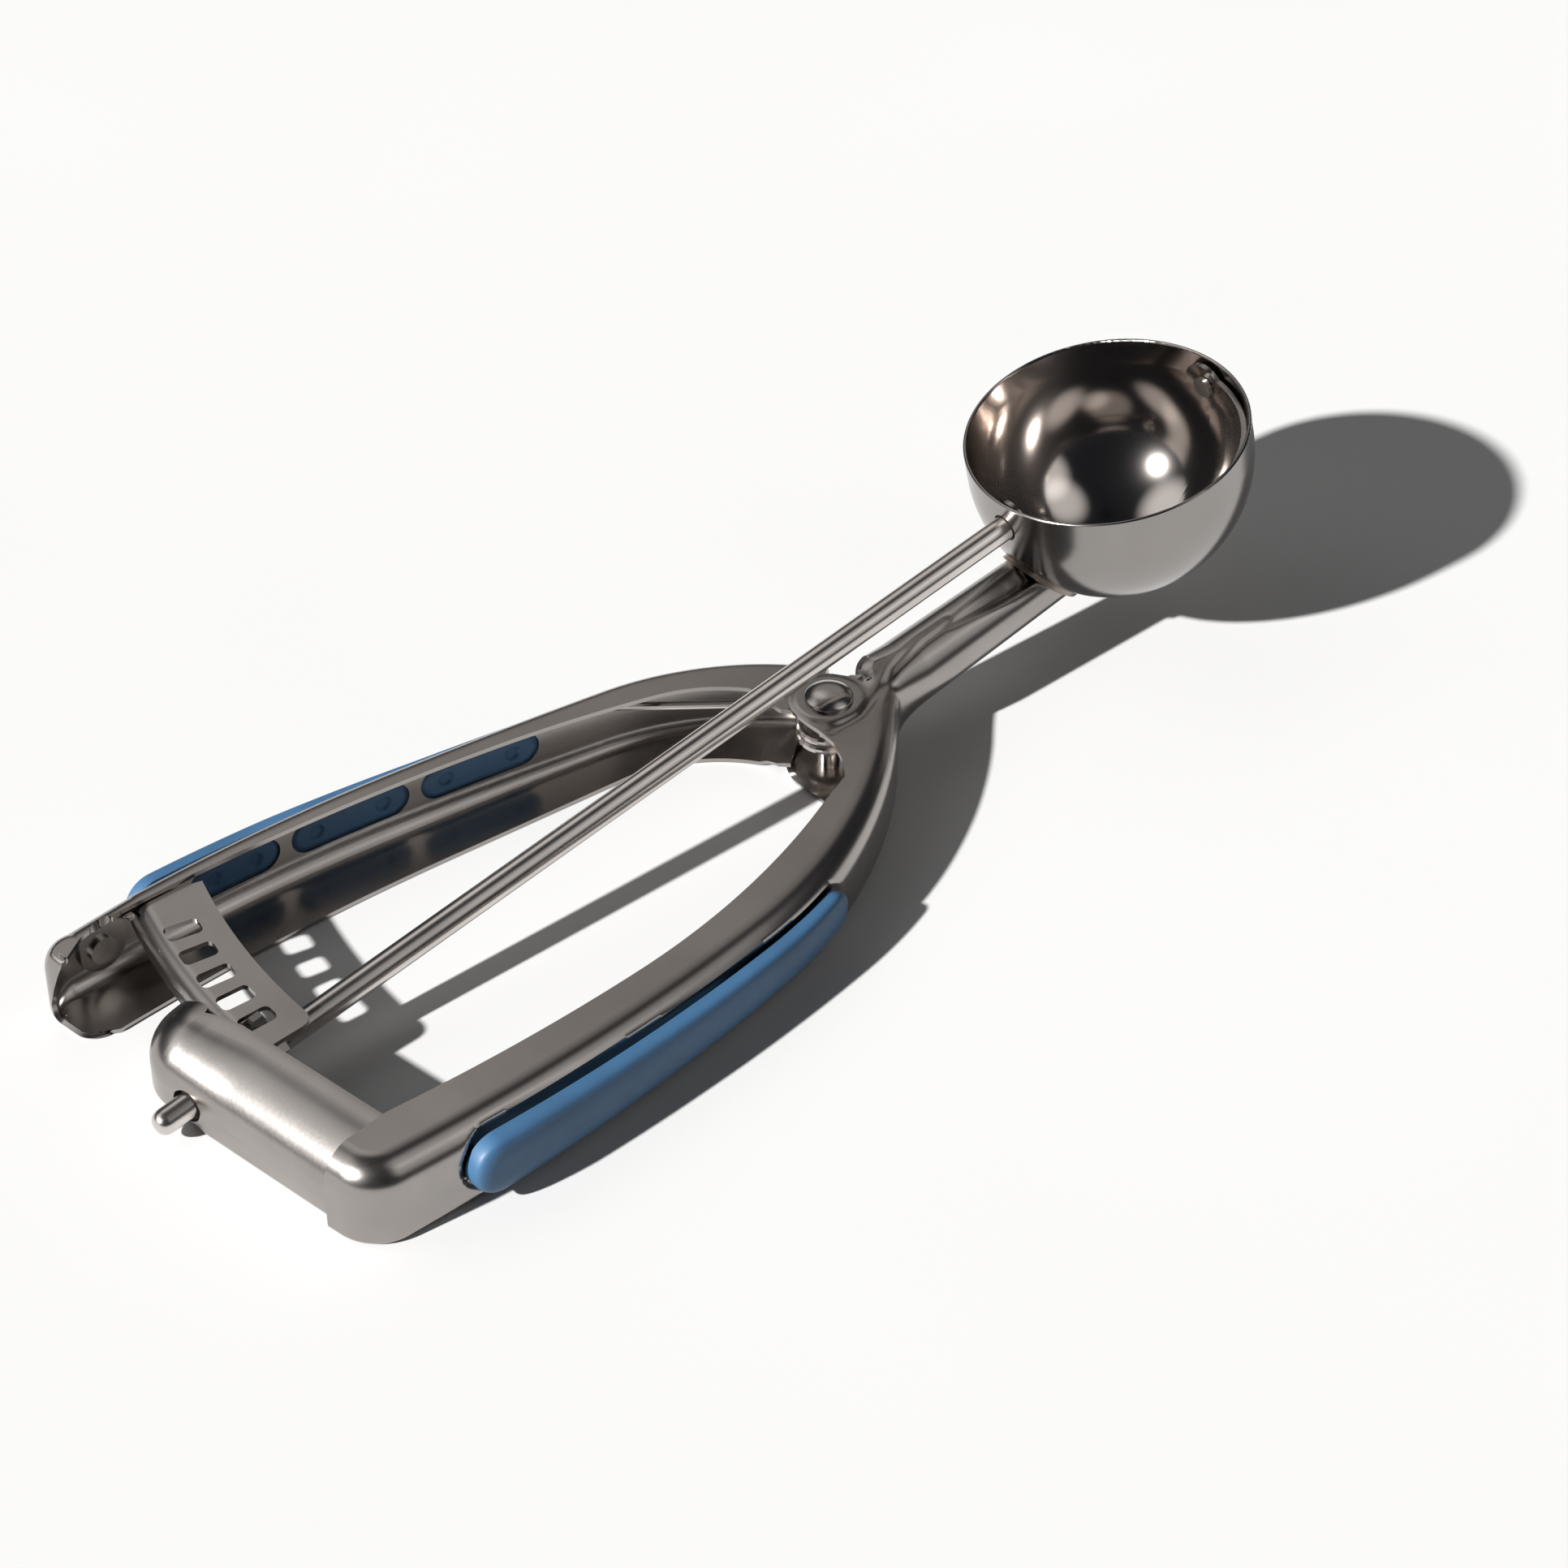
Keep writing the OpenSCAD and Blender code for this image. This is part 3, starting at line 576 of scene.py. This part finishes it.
def moving_handle():
    """An open channel with a narrow upper lip, a wide lower flange and a hooded rear end."""
    points, headings, curl = moving_wall()
    run = distances(points)
    run -= run[curl]
    pivot = np.array([PIVOT[0], -PIVOT[1]])
    lip, _ = follow((-183.5, -31.75), 0.65, [(0, 15), (370, 10), (213, 7.4), (25.7, 36)], 0.5)
    hood = [(-186, -26.8), (-180.2, -27.3), (-178.8, -28.0), (-177.4, -29.3), (-175.6, -30.6),
            (-172.8, -31.35)]
    lip = np.array(hood + [tuple(p) for p in lip if p[0] > -167.5])
    wide, _ = follow((-186.0, -22.0), -3, [(0, 10.2), (385, 8.67), (0, 32.8), (26, 54)], 0.5)

    def closed(edge):
        keep = [p for p in edge if p[0] < -65.5]
        return np.array(keep + [np.array((-65.5, -3.5))] + circle_arc(pivot, 6.0, 205, 330, 40)
                        + [np.array(p) for p in [(-53.0, -5.2), (-48, -6.5), (-30, -9), (-30, -60),
                                                 (-200, -60), (-200, edge[0][1])]])

    upper, lower = closed(lip), closed(wide)

    def edges(p, n):
        return (p + n * min(ray_out(p, n, upper), 16.5), p + n * min(ray_out(p, n, lower), 16.5))

    join = edges(points[curl], left(headings[curl]))
    corner = points[0] + np.array((0.4, 0.05))
    mouth, last = -6.4, -9.7   # where the mouth meets the wall, and where the hood ends
    rows, hood_rows, sill = [], [], []
    for s, p, h in zip(run, points, headings):
        n = left(h)
        if s < 0:
            t = 1 - s / run[0]
            g = corner * (1 - t) + join[1] * t
            tip = p + n * 1.5
            e = np.array([np.interp(s, [last, mouth, 0], [tip[0], -179.1, join[0][0]]),
                          np.interp(s, [last, mouth, 0], [tip[1], -28.0, join[0][1]])])
            if s < last:
                e = tip
        else:
            e, g = edges(p, n)
        r = float(np.interp(p[0], [-176, -165, -120, -70, -52], [4.2, 3.5, 3.0, 2.6, 2.2]))
        rv = r * 1.25 if p[0] < -165 else r
        if s < 0:
            r = float(np.interp(s, [last, mouth, -4.4, 0], [1.0, 1.2, 2.3, 4.2]))
            rv = float(np.interp(s, [last, mouth, -4.4, 0], [3.0, 4.0, 4.8, 5.25]))
        r_low = float(np.interp(s, [run[0], -11.7, -7.8, -4, 0, 12, 56, 106, 124],
                                [0.4, 0.6, 1.0, 2.4, 3.8, 4.2, 4.4, 3.0, 2.4]))
        line = section(p, n, e, g, 0.0, MOVING_TOP, (r, rv), r_low)
        length = distances(line)

        def down_to(height):
            return float(np.interp(-height, -line[COUNTS[0]:-COUNTS[4] + 1, 2],
                                   length[COUNTS[0]:-COUNTS[4] + 1]))

        # the mouth is cut on a slant between the hood and the low rear edge
        if s >= mouth - 0.15:
            rows.append(resampled(line, 0.0, 110))
        if last <= s <= mouth + 0.3:
            stop = down_to(float(np.interp(s, [last, -9.2, -7.8, mouth], [12.6, 11.2, 7.4, 3.1])))
            hood_rows.append(at(np.linspace(0, stop, 70), length, line))
        if s <= mouth + 0.3:
            height = float(np.interp(s, [run[0], -11.7, -8.1, -6.9, mouth], [0.35, 0.45, 0.6, 1.2, 3.1]))
            sill.append(resampled(line, down_to(height), 60))
    finished = []
    for part in (rows, hood_rows, sill):
        grid = np.array(part)
        x, y, z = grid[..., 0], grid[..., 1], grid[..., 2]
        d = np.hypot(x - pivot[0], y - pivot[1])
        grid[..., 2] += 1.75 * (1 - smooth(d, 6.9, 11.0)) * (1 - smooth(z, 1.0, 5.0))
        grid[..., 0] = x - 1.3 * smooth(-x, 174.0, 181.0)
        finished.append(flipped(grid))
    n = normals(finished[0])
    side = -1.0 if n[len(rows) // 2, 40, 1] > 0 else 1.0
    sheet_metal("moving_handle_end", finished[1:], SHEET, [side] * 2, SATIN,
                "moving_side", "moving_handle")
    return sheet_metal("moving_handle_sheet", finished[:1], SHEET, [side], SATIN,
                       "moving_side", "moving_handle")


def cut_windows(obj):
    """Cuts the three rounded windows through the moving handle's wall."""
    low, high, r = WINDOW_Z[0], WINDOW_Z[1], WINDOW_R
    for x0, x1 in WINDOWS:
        ring = []
        for cx, cz, a0 in [(x1 - r, high - r, 0), (x0 + r, high - r, 90), (x0 + r, low + r, 180),
                           (x1 - r, low + r, 270)]:
            ring += [np.array([cx + r * math.cos(math.radians(a)), 20.0, cz + r * math.sin(math.radians(a))])
                     for a in np.linspace(a0, a0 + 90, 12)]
        cut(obj, ring, np.array([0.0, 25.0, 0.0]))


def cut(obj, ring, step):
    """Cuts a prism out of a piece: a ring of points, drawn out by a step."""
    count = len(ring)
    verts = list(ring) + [p + step for p in ring]
    faces = [tuple(range(count)), tuple(range(2 * count - 1, count - 1, -1))]
    faces += [(i, i + count, (i + 1) % count + count, (i + 1) % count) for i in range(count)]
    tool = bpy.data.objects.new("cutter", new_mesh("cutter", verts, faces))
    bpy.context.scene.collection.objects.link(tool)
    mod = obj.modifiers.new("cut", "BOOLEAN")
    mod.operation, mod.solver, mod.object = "DIFFERENCE", "EXACT", tool
    bpy.context.view_layer.update()
    result = bpy.data.meshes.new_from_object(obj.evaluated_get(bpy.context.evaluated_depsgraph_get()))
    obj.modifiers.clear()
    old = obj.data
    obj.data = result
    result.name = old.name
    bpy.data.meshes.remove(old)
    bpy.data.objects.remove(tool)
    result.set_sharp_from_angle(angle=math.radians(CREASE))


# Bridge: a trough with a rounded closed end, open to the front
def bridge():
    runs = [(0, 2.1), (8.0, 89.6), (0, 37)]
    points, headings = follow((-171.4, 13.5), 189.5, runs, 0.3)
    keep = points[:, 1] > -28.9
    points, headings = points[keep], headings[keep]
    front = np.array([(-171.2, 5.9), (-170.8, 5.4), (-169.7, 3.6), (-168.5, 0), (-163.9, -27.4),
                      (-163.6, -29)])
    run = distances(points)
    front_run = distances(front)
    bend = runs[0][1] + runs[1][0] * math.radians(runs[1][1])
    rows = []
    for s, p, h in zip(run, points, headings):
        t = np.interp(s, [0, bend * 0.5, bend, bend + 6, run[-1]], [0, 0.3, 2.2, 7.0, front_run[-1]])
        e = at([t], front_run, front)[0]
        rh = min(7.2 + 1.6 * float(smooth(s, bend, bend + 12)), float(np.linalg.norm(e - p)) - 0.4)
        rv = 6.6 + 1.8 * float(smooth(s, bend - 7, bend + 12))
        low = float(np.interp(max(p[1], e[1]), [-2, 3], [0.2, 0.9]))
        g = e - np.array([0.1 + 1.1 * min(s / bend, 1.0), 0])
        rows.append(section(p, left(h), e, g, low, BRIDGE_TOP, (rh, rv), 1.4))
    grid = np.array(rows)
    # the top slopes down towards the rear; a shallow hollow runs between its rounding and the wall
    fall = np.interp(grid[..., 1], front[::-1, 1], front[::-1, 0]) - grid[..., 0]
    grid[..., 2] -= 1.0 * smooth(fall, 0.3, 9.5) * np.clip(grid[..., 2] / BRIDGE_TOP, 0, 1) ** 2
    z = grid[..., 2]
    n = normals(grid)
    j = COUNTS[0] + COUNTS[1] + 10
    side = 1.0 if n[-10, j, 0] > 0 else -1.0
    hollow = 0.15 * np.exp(-((z - 5.2) / 1.0) ** 2) * smooth(run, bend - 2, bend + 5)[:, None]
    cols = np.zeros(grid.shape[1], bool)
    cols[COUNTS[0]:COUNTS[0] + COUNTS[1] + COUNTS[2]] = True
    grid = grid + n * side * np.where(cols[None, :], hollow, 0.0)[..., None]
    obj = sheet_metal("bridge_sheet", [grid], SHEET, [side], SATIN, "fixed_side", "bridge")
    # hole for the spindle's tail
    u, v = np.array([0, 1, 0]), np.array([-math.sin(TILT), 0, math.cos(TILT)])
    base = np.array([0, 0, BOWL_Z]) - AXIS * 188
    hole = 2.65
    ring = [base + hole * (math.cos(a) * u + math.sin(a) * v)
            for a in np.linspace(0, 2 * math.pi, 40, endpoint=False)]
    cut(obj, ring, AXIS * 14)


# Grips: soft pads that sit proud of the walls, with plugs through the moving handle's windows
def wall_frame(points, headings, x):
    """The wall's point at a place along X, and the direction into the channel."""
    y = np.interp(x, points[:, 0], points[:, 1])
    h = np.interp(x, points[:, 0], headings)
    return np.array([x, y]), left(h)


NEAREST = -41.44     # the fixed grip's outermost y, that of the solid
SIDE, END = 60, 24   # points along each long side and round each end of a grip


def pad(points, headings, x0, x1, mirror, growth):
    """A soft pad on a wall, domed by rings that draw in as they rise; growth scales it along X."""
    keep = points[:, 0] > -176
    points, headings = points[keep], headings[keep]
    (ar, az), (br, bz) = GRIP_REAR, GRIP_FRONT
    a, b = np.array([x0 + ar, az]), np.array([x1 - br, bz])
    along = (b - a) / np.linalg.norm(b - a)
    across = np.array([-along[1], along[0]])

    def outline(inset):
        ra, rb = max(ar - inset, 0.02), max(br - inset, 0.02)
        out = []
        for t in np.linspace(0, 1, SIDE, endpoint=False):
            out.append(a + (b - a) * t + across * (ra + (rb - ra) * t))
        for ang in np.linspace(90, -90, END, endpoint=False):
            c, s = math.cos(math.radians(ang)), math.sin(math.radians(ang))
            out.append(b + rb * (c * along + s * across))
        for t in np.linspace(1, 0, SIDE, endpoint=False):
            out.append(a + (b - a) * t - across * (ra + (rb - ra) * t))
        for ang in np.linspace(270, 90, END, endpoint=False):
            c, s = math.cos(math.radians(ang)), math.sin(math.radians(ang))
            out.append(a + ra * (c * along + s * across))
        return out

    rings = [(0.0, -0.3), (0.0, 0.55), (0.02, 1.3), (0.12, 1.75), (0.35, 2.1), (0.75, 2.36), (1.3, 2.55),
             (2.0, 2.7), (2.8, 2.8), (3.3, 2.84)]
    verts = []
    for inset, out in rings:
        for x, z in outline(inset):
            p, n = wall_frame(points, headings, x)
            # thicker towards the rear
            grow = float(np.interp(x, [x0, x0 + 25, x0 + 50, x1], growth))
            q = p - n * (out * grow if out > 0 else out)
            verts.append((q[0], -q[1] if mirror else max(q[1], NEAREST), z))
    count = len(outline(0))
    faces = []
    for r in range(len(rings) - 1):
        for i in range(count):
            j = (i + 1) % count
            faces.append((r * count + i, r * count + j, (r + 1) * count + j, (r + 1) * count + i))
    # the two flat faces, in strips across
    rear = 2 * SIDE + END
    for base in (0, (len(rings) - 1) * count):
        for i in range(SIDE):
            faces.append((base + i, base + i + 1, base + rear - 1 - i, base + rear - i))
        for i in range(END // 2):
            near, far = SIDE + i, SIDE + END - i
            faces.append((base + near, base + near + 1, base + far - 1, base + far))
        for i in range(END // 2):
            near, far = rear + i, count - i
            faces.append((base + near, base + near + 1, base + far - 1, base + far % count))
    return verts, faces


PLUG_R, PLUG_Z = 3.05, 6.8   # radius of a plug's ends, and its middle's height


def add_plugs(verts, faces, points, headings):
    """Rounded plugs behind each window, with two dimples, on the inner face of the moving handle's wall."""
    verts, faces = list(verts), list(faces)
    r = PLUG_R
    for x0, x1 in WINDOWS:
        cells_x = np.linspace(x0 + 0.05, x1 - 0.05, 90)
        cells_z = np.linspace(3.75, 9.85, 34)
        index = {}
        first = len(verts)
        for ix, x in enumerate(cells_x):
            for iz, z in enumerate(cells_z):
                dx = max(x0 + r - x, x - (x1 - r), 0)
                dz = z - PLUG_Z
                d = math.hypot(dx, dz) - r if dx > 0 else abs(dz) - r
                dimple = min(math.hypot(x - cx, dz) for cx in (x0 + 4.4, x1 - 4.4))
                pit = 0.5 * (1 - float(smooth(dimple, 1.05, 1.35)))
                depth = 0.55 - 0.55 * float(smooth(d, -1.0, 0.0)) - pit
                if d > 0:
                    scale = 1 - d / max(math.hypot(dx, dz), 1e-6) if dx > 0 else (r / abs(dz))
                    cx = x0 + r if x < x0 + r else x1 - r
                    if dx > 0:
                        x_, z_ = cx + (x - cx) * scale, PLUG_Z + dz * scale
                    else:
                        x_, z_ = x, PLUG_Z + math.copysign(r, dz)
                else:
                    x_, z_ = x, z
                p, n = wall_frame(points, headings, x_)
                q = p + n * (0.3 + depth)
                index[ix, iz] = len(verts)
                verts.append((q[0], -q[1], z_))
        for ix in range(len(cells_x) - 1):
            for iz in range(len(cells_z) - 1):
                faces.append((index[ix, iz], index[ix + 1, iz], index[ix + 1, iz + 1], index[ix, iz + 1]))
    return verts, faces


cut_windows(moving_handle())
bridge()
fixed_points, fixed_headings = follow(FIXED_START, FIXED_HEAD, FIXED_RUNS, 0.45)
moving_points, moving_headings = follow(MOVING_START, MOVING_HEAD, MOVING_RUNS, 0.5)
v, f = pad(fixed_points[20:], fixed_headings[20:], *FIXED_GRIP, False, [1.12, 0.94, 0.87, 0.80])
make_object("fixed_grip_pad", v, f, BLUE, "fixed_side", "fixed_grip", sharp=60)
v, f = pad(moving_points, moving_headings, *MOVING_GRIP, True, [0.9, 0.8, 0.45, 0.3])
v, f = add_plugs(v, f, moving_points, moving_headings)
make_object("moving_grip_pad", v, f, BLUE, "moving_side", "moving_grip", sharp=60)


# Rack: a flat arc with a bent rear edge, five slots, and a bent end on the moving handle's wall
RACK_R = 106.8                       # radius of the row of slots about the hinge
FIRST_SLOT, SLOT_STEP, SLOT_COUNT = 0.71, 3, 5


def on_rack(r, turn):
    a = math.radians(turn)
    return np.array([PIVOT[0] - r * math.cos(a), PIVOT[1] + r * math.sin(a)])


RACK_SHEET, RACK_TOP = 0.8, 12.4
LUG_X, LUG_Z, LUG_R = -170.6, 6.0, 4.1   # the lug's round end, about its rivet


def rack():
    """The slotted arc plate, and its lug on the moving handle's wall."""
    bend, lip, front, back = 2.8, 4.3, 100.6, 112.0
    first, last = -2.3, 17.6

    def profile(r0):
        """Radius and drop across the plate, from its front edge round the bend to the lip's edge."""
        out = [(r, 0.0) for r in np.linspace(r0, back - bend, 22, endpoint=False)]
        out += [(back - bend + bend * math.sin(a), bend - bend * math.cos(a))
                for a in np.linspace(0, math.pi / 2, 9, endpoint=False)]
        return out + [(back, bend + (lip - bend) * t) for t in np.linspace(0, 1, 6)]

    rows = []
    for turn in np.concatenate([np.linspace(first, -0.6, 14, endpoint=False), np.linspace(-0.6, last, 60)]):
        d = math.radians(turn - first) * front
        r0 = front + (2.2 - math.sqrt(max(0.0, 2.2 ** 2 - (2.2 - d) ** 2)) if d < 2.2 else 0.0)
        rows.append([np.append(on_rack(r, turn), RACK_TOP - drop) for r, drop in profile(r0)])
    grid = np.array(rows)
    side = -1.0 if normals(grid)[30, 8, 2] > 0 else 1.0
    obj = sheet_metal("rack_plate", [grid], RACK_SHEET, [side], SATIN, "moving_side", "rack")
    # a lug bends down against the wall's inner face
    rows = []
    for w in np.linspace(-4.05, 4.05, 33):
        x = LUG_X + w
        wall = -float(np.interp(x, moving_points[:, 0], moving_points[:, 1])) - SHEET - 0.05
        b = float(smooth(w, 1.4, 3.0))
        half = math.sqrt(max(0.0, LUG_R ** 2 - w * w))
        low = LUG_Z - half
        high = max(LUG_Z + half, float(np.interp(w, [-1.5, 1.5], [9.8, RACK_TOP - 0.02])))
        high = min(high, 10.5 + 1.88 * b)
        row = [(x, wall - b * (4.0 - 2.0 * t), high) for t in np.linspace(0, 1, 6, endpoint=False)]
        row += [(x, wall - 2.0 * b * (1 - math.sin(a)), high - 2.0 * b * (1 - math.cos(a)))
                for a in np.linspace(0, math.pi / 2, 10, endpoint=False)]
        row += [(x, wall, (high - 2.0 * b) * (1 - t) + low * t) for t in np.linspace(0, 1, 12)]
        rows.append(row)
    grid = np.array(rows)
    side = -1.0 if normals(grid)[28, 3, 2] > 0 else 1.0
    sheet_metal("rack_lug", [grid], RACK_SHEET, [side], SATIN, "moving_side", "rack")
    for i in range(SLOT_COUNT):
        turn = FIRST_SLOT + SLOT_STEP * i
        radial = np.append(on_rack(RACK_R + 1, turn) - on_rack(RACK_R, turn), 0)
        across = np.array([-radial[1], radial[0], 0])
        middle = np.append(on_rack(RACK_R, turn), 10.0)
        ring = []
        for cx, cy, a0 in [(1.85, 0.7, 0), (-1.85, 0.7, 90), (-1.85, -0.7, 180), (1.85, -0.7, 270)]:
            for a in np.linspace(a0, a0 + 90, 7):
                ring.append(middle + radial * (cx + 0.9 * math.cos(math.radians(a)))
                            + across * (cy + 0.9 * math.sin(math.radians(a))))
        cut(obj, ring, np.array([0, 0, 2.8]))


rack()
# profiles as (distance along the axis, radius): from the bowl's centre, and up from the table
ROD_PROFILE = [(-187.06, 0), (-187.03, 0.6), (-186.9, 1.1), (-186.62, 1.5), (-186.2, 1.8), (-185.7, 1.95),
               (-185.2, 2.0), (-21.95, 2.0), (-21.95, 1.4), (-20.89, 1.4), (-20.89, 2.1), (-20.7, 2.3),
               (-20.4, 2.1), (-20.15, 1.5), (-20.05, 0)]
HEAD_PROFILE = [(0.1, 0), (0.1, 3.4), (0.25, 3.6), (0.9, 3.6), (0.9, 1.8), (14.4, 1.8), (14.4, 3.7),
                (14.5, 3.8), (14.95, 3.8), (15.1, 3.7), (15.25, 3.45), (15.55, 2.9), (15.85, 2.1),
                (16.0, 1.2), (16.05, 0)]
turned("spindle_rod", ROD_PROFILE, (0, 0, BOWL_Z), AXIS, ROD, "spindle_side", "spindle")
turned("pivot_rivet_head", HEAD_PROFILE, (PIVOT[0], PIVOT[1], 0), (0, 0, 1), POLISHED,
       "fixed_side", "pivot_rivet")


# ---------------------------------------------------------------- floor, light, camera
def floor():
    """A plain pale floor just under the object."""
    mat, tree, shader = new_material("floor")
    tone = noise(tree, 6.0, 2.0)
    tree.links.new(ramp(tree, tone, [(0.3, (0.505, 0.505, 0.505)), (0.7, (0.515, 0.515, 0.515))]),
                   shader.inputs["Base Color"])
    shader.inputs["Roughness"].default_value = 0.9
    shader.inputs["Specular IOR Level"].default_value = 0.0
    mesh = bpy.data.meshes.new("floor")
    s = 4.0
    mesh.from_pydata([(-s, -s, 0), (s, -s, 0), (s, s, 0), (-s, s, 0)], [], [(0, 1, 2, 3)])
    mesh.materials.append(mat)
    obj = bpy.data.objects.new("floor", mesh)
    obj.location.z = -0.00005
    bpy.context.scene.collection.objects.link(obj)


floor()

sun = bpy.data.lights.new("key", "SUN")
sun.energy = 9.5
sun.angle = math.radians(1.8)
sun.color = (1.0, 0.995, 0.985)
key = bpy.data.objects.new("key", sun)
key.rotation_mode = "QUATERNION"
key.rotation_quaternion = Vector((1.49, -0.17, -1.0)).to_track_quat("-Z", "Y")
bpy.context.scene.collection.objects.link(key)

world = bpy.data.worlds.new("studio")
bpy.context.scene.world = world
world.use_nodes = True
wt = world.node_tree
background = wt.nodes["Background"]
coords = add(wt, "ShaderNodeTexCoord")


def lobe(direction, dark, full, colour):
    """Light from one side: none up to one cosine off a direction, and full from the other on."""
    facing = add(wt, "ShaderNodeVectorMath", operation="DOT_PRODUCT")
    facing.inputs[1].default_value = Vector(direction).normalized()
    wt.links.new(coords.outputs["Generated"], facing.inputs[0])
    spot = add(wt, "ShaderNodeMapRange", interpolation_type="SMOOTHSTEP")
    spot.inputs["From Min"].default_value = dark
    spot.inputs["From Max"].default_value = full
    wt.links.new(facing.outputs["Value"], spot.inputs["Value"])
    tint = add(wt, "ShaderNodeVectorMath", operation="SCALE")
    tint.inputs[0].default_value = colour
    wt.links.new(spot.outputs["Result"], tint.inputs["Scale"])
    return tint.outputs["Vector"]


# soft boxes: direction, angles off it of full and of no light, radiance
BOXES = [((0.49, 0.57, 0.66), 16, 31, (0.34, 0.325, 0.31)),
         ((0.15, 0.62, 0.77), 4, 20, (0.58, 0.575, 0.57)),
         ((0.36, -0.42, 0.83), 6, 23, (0.68, 0.67, 0.66)),
         ((0.36, -0.72, 0.59), 6, 23, (0.72, 0.71, 0.70)),
         ((-0.45, 0.55, 0.70), 7, 26, (0.82, 0.815, 0.81))]
lobes = [lobe(direction, math.cos(math.radians(outer)), math.cos(math.radians(inner)), colour)
         for direction, inner, outer, colour in BOXES]
# faint light from all round, a little less from straight above
lobes.append(lobe((0.0, 0.0, -1.0), -1.01, -0.99, (0.014, 0.0155, 0.019)))
total = lobes[0]
for light in lobes[1:]:
    both = add(wt, "ShaderNodeVectorMath", operation="ADD")
    wt.links.new(total, both.inputs[0])
    wt.links.new(light, both.inputs[1])
    total = both.outputs["Vector"]
wt.links.new(total, background.inputs["Color"])

FOCAL_PX, IMAGE_PX = 5560.0, 1932.0          # focal length and width of the image, in pixels
EYE = np.array([-408.72, -398.44, 461.99])   # the camera's place, in mm in the bowl's frame
cam = bpy.data.cameras.new("camera")
cam.sensor_width = 36.0
cam.lens = FOCAL_PX * cam.sensor_width / IMAGE_PX
cam.clip_start, cam.clip_end = 0.01, 20.0
camera = bpy.data.objects.new("camera", cam)
camera.location = Vector((EYE + SHIFT) * MM)
azimuth, height = math.radians(-40.57), math.radians(41.275)
back = Vector((math.sin(azimuth) * math.cos(height), -math.cos(azimuth) * math.cos(height), math.sin(height)))
right = Vector((0, 0, 1)).cross(back).normalized()
up = back.cross(right)
camera.rotation_mode = "QUATERNION"
camera.rotation_quaternion = Matrix((right, up, back)).transposed().to_quaternion()
bpy.context.scene.collection.objects.link(camera)
bpy.context.scene.camera = camera
bpy.context.scene.view_settings.view_transform = "Standard"
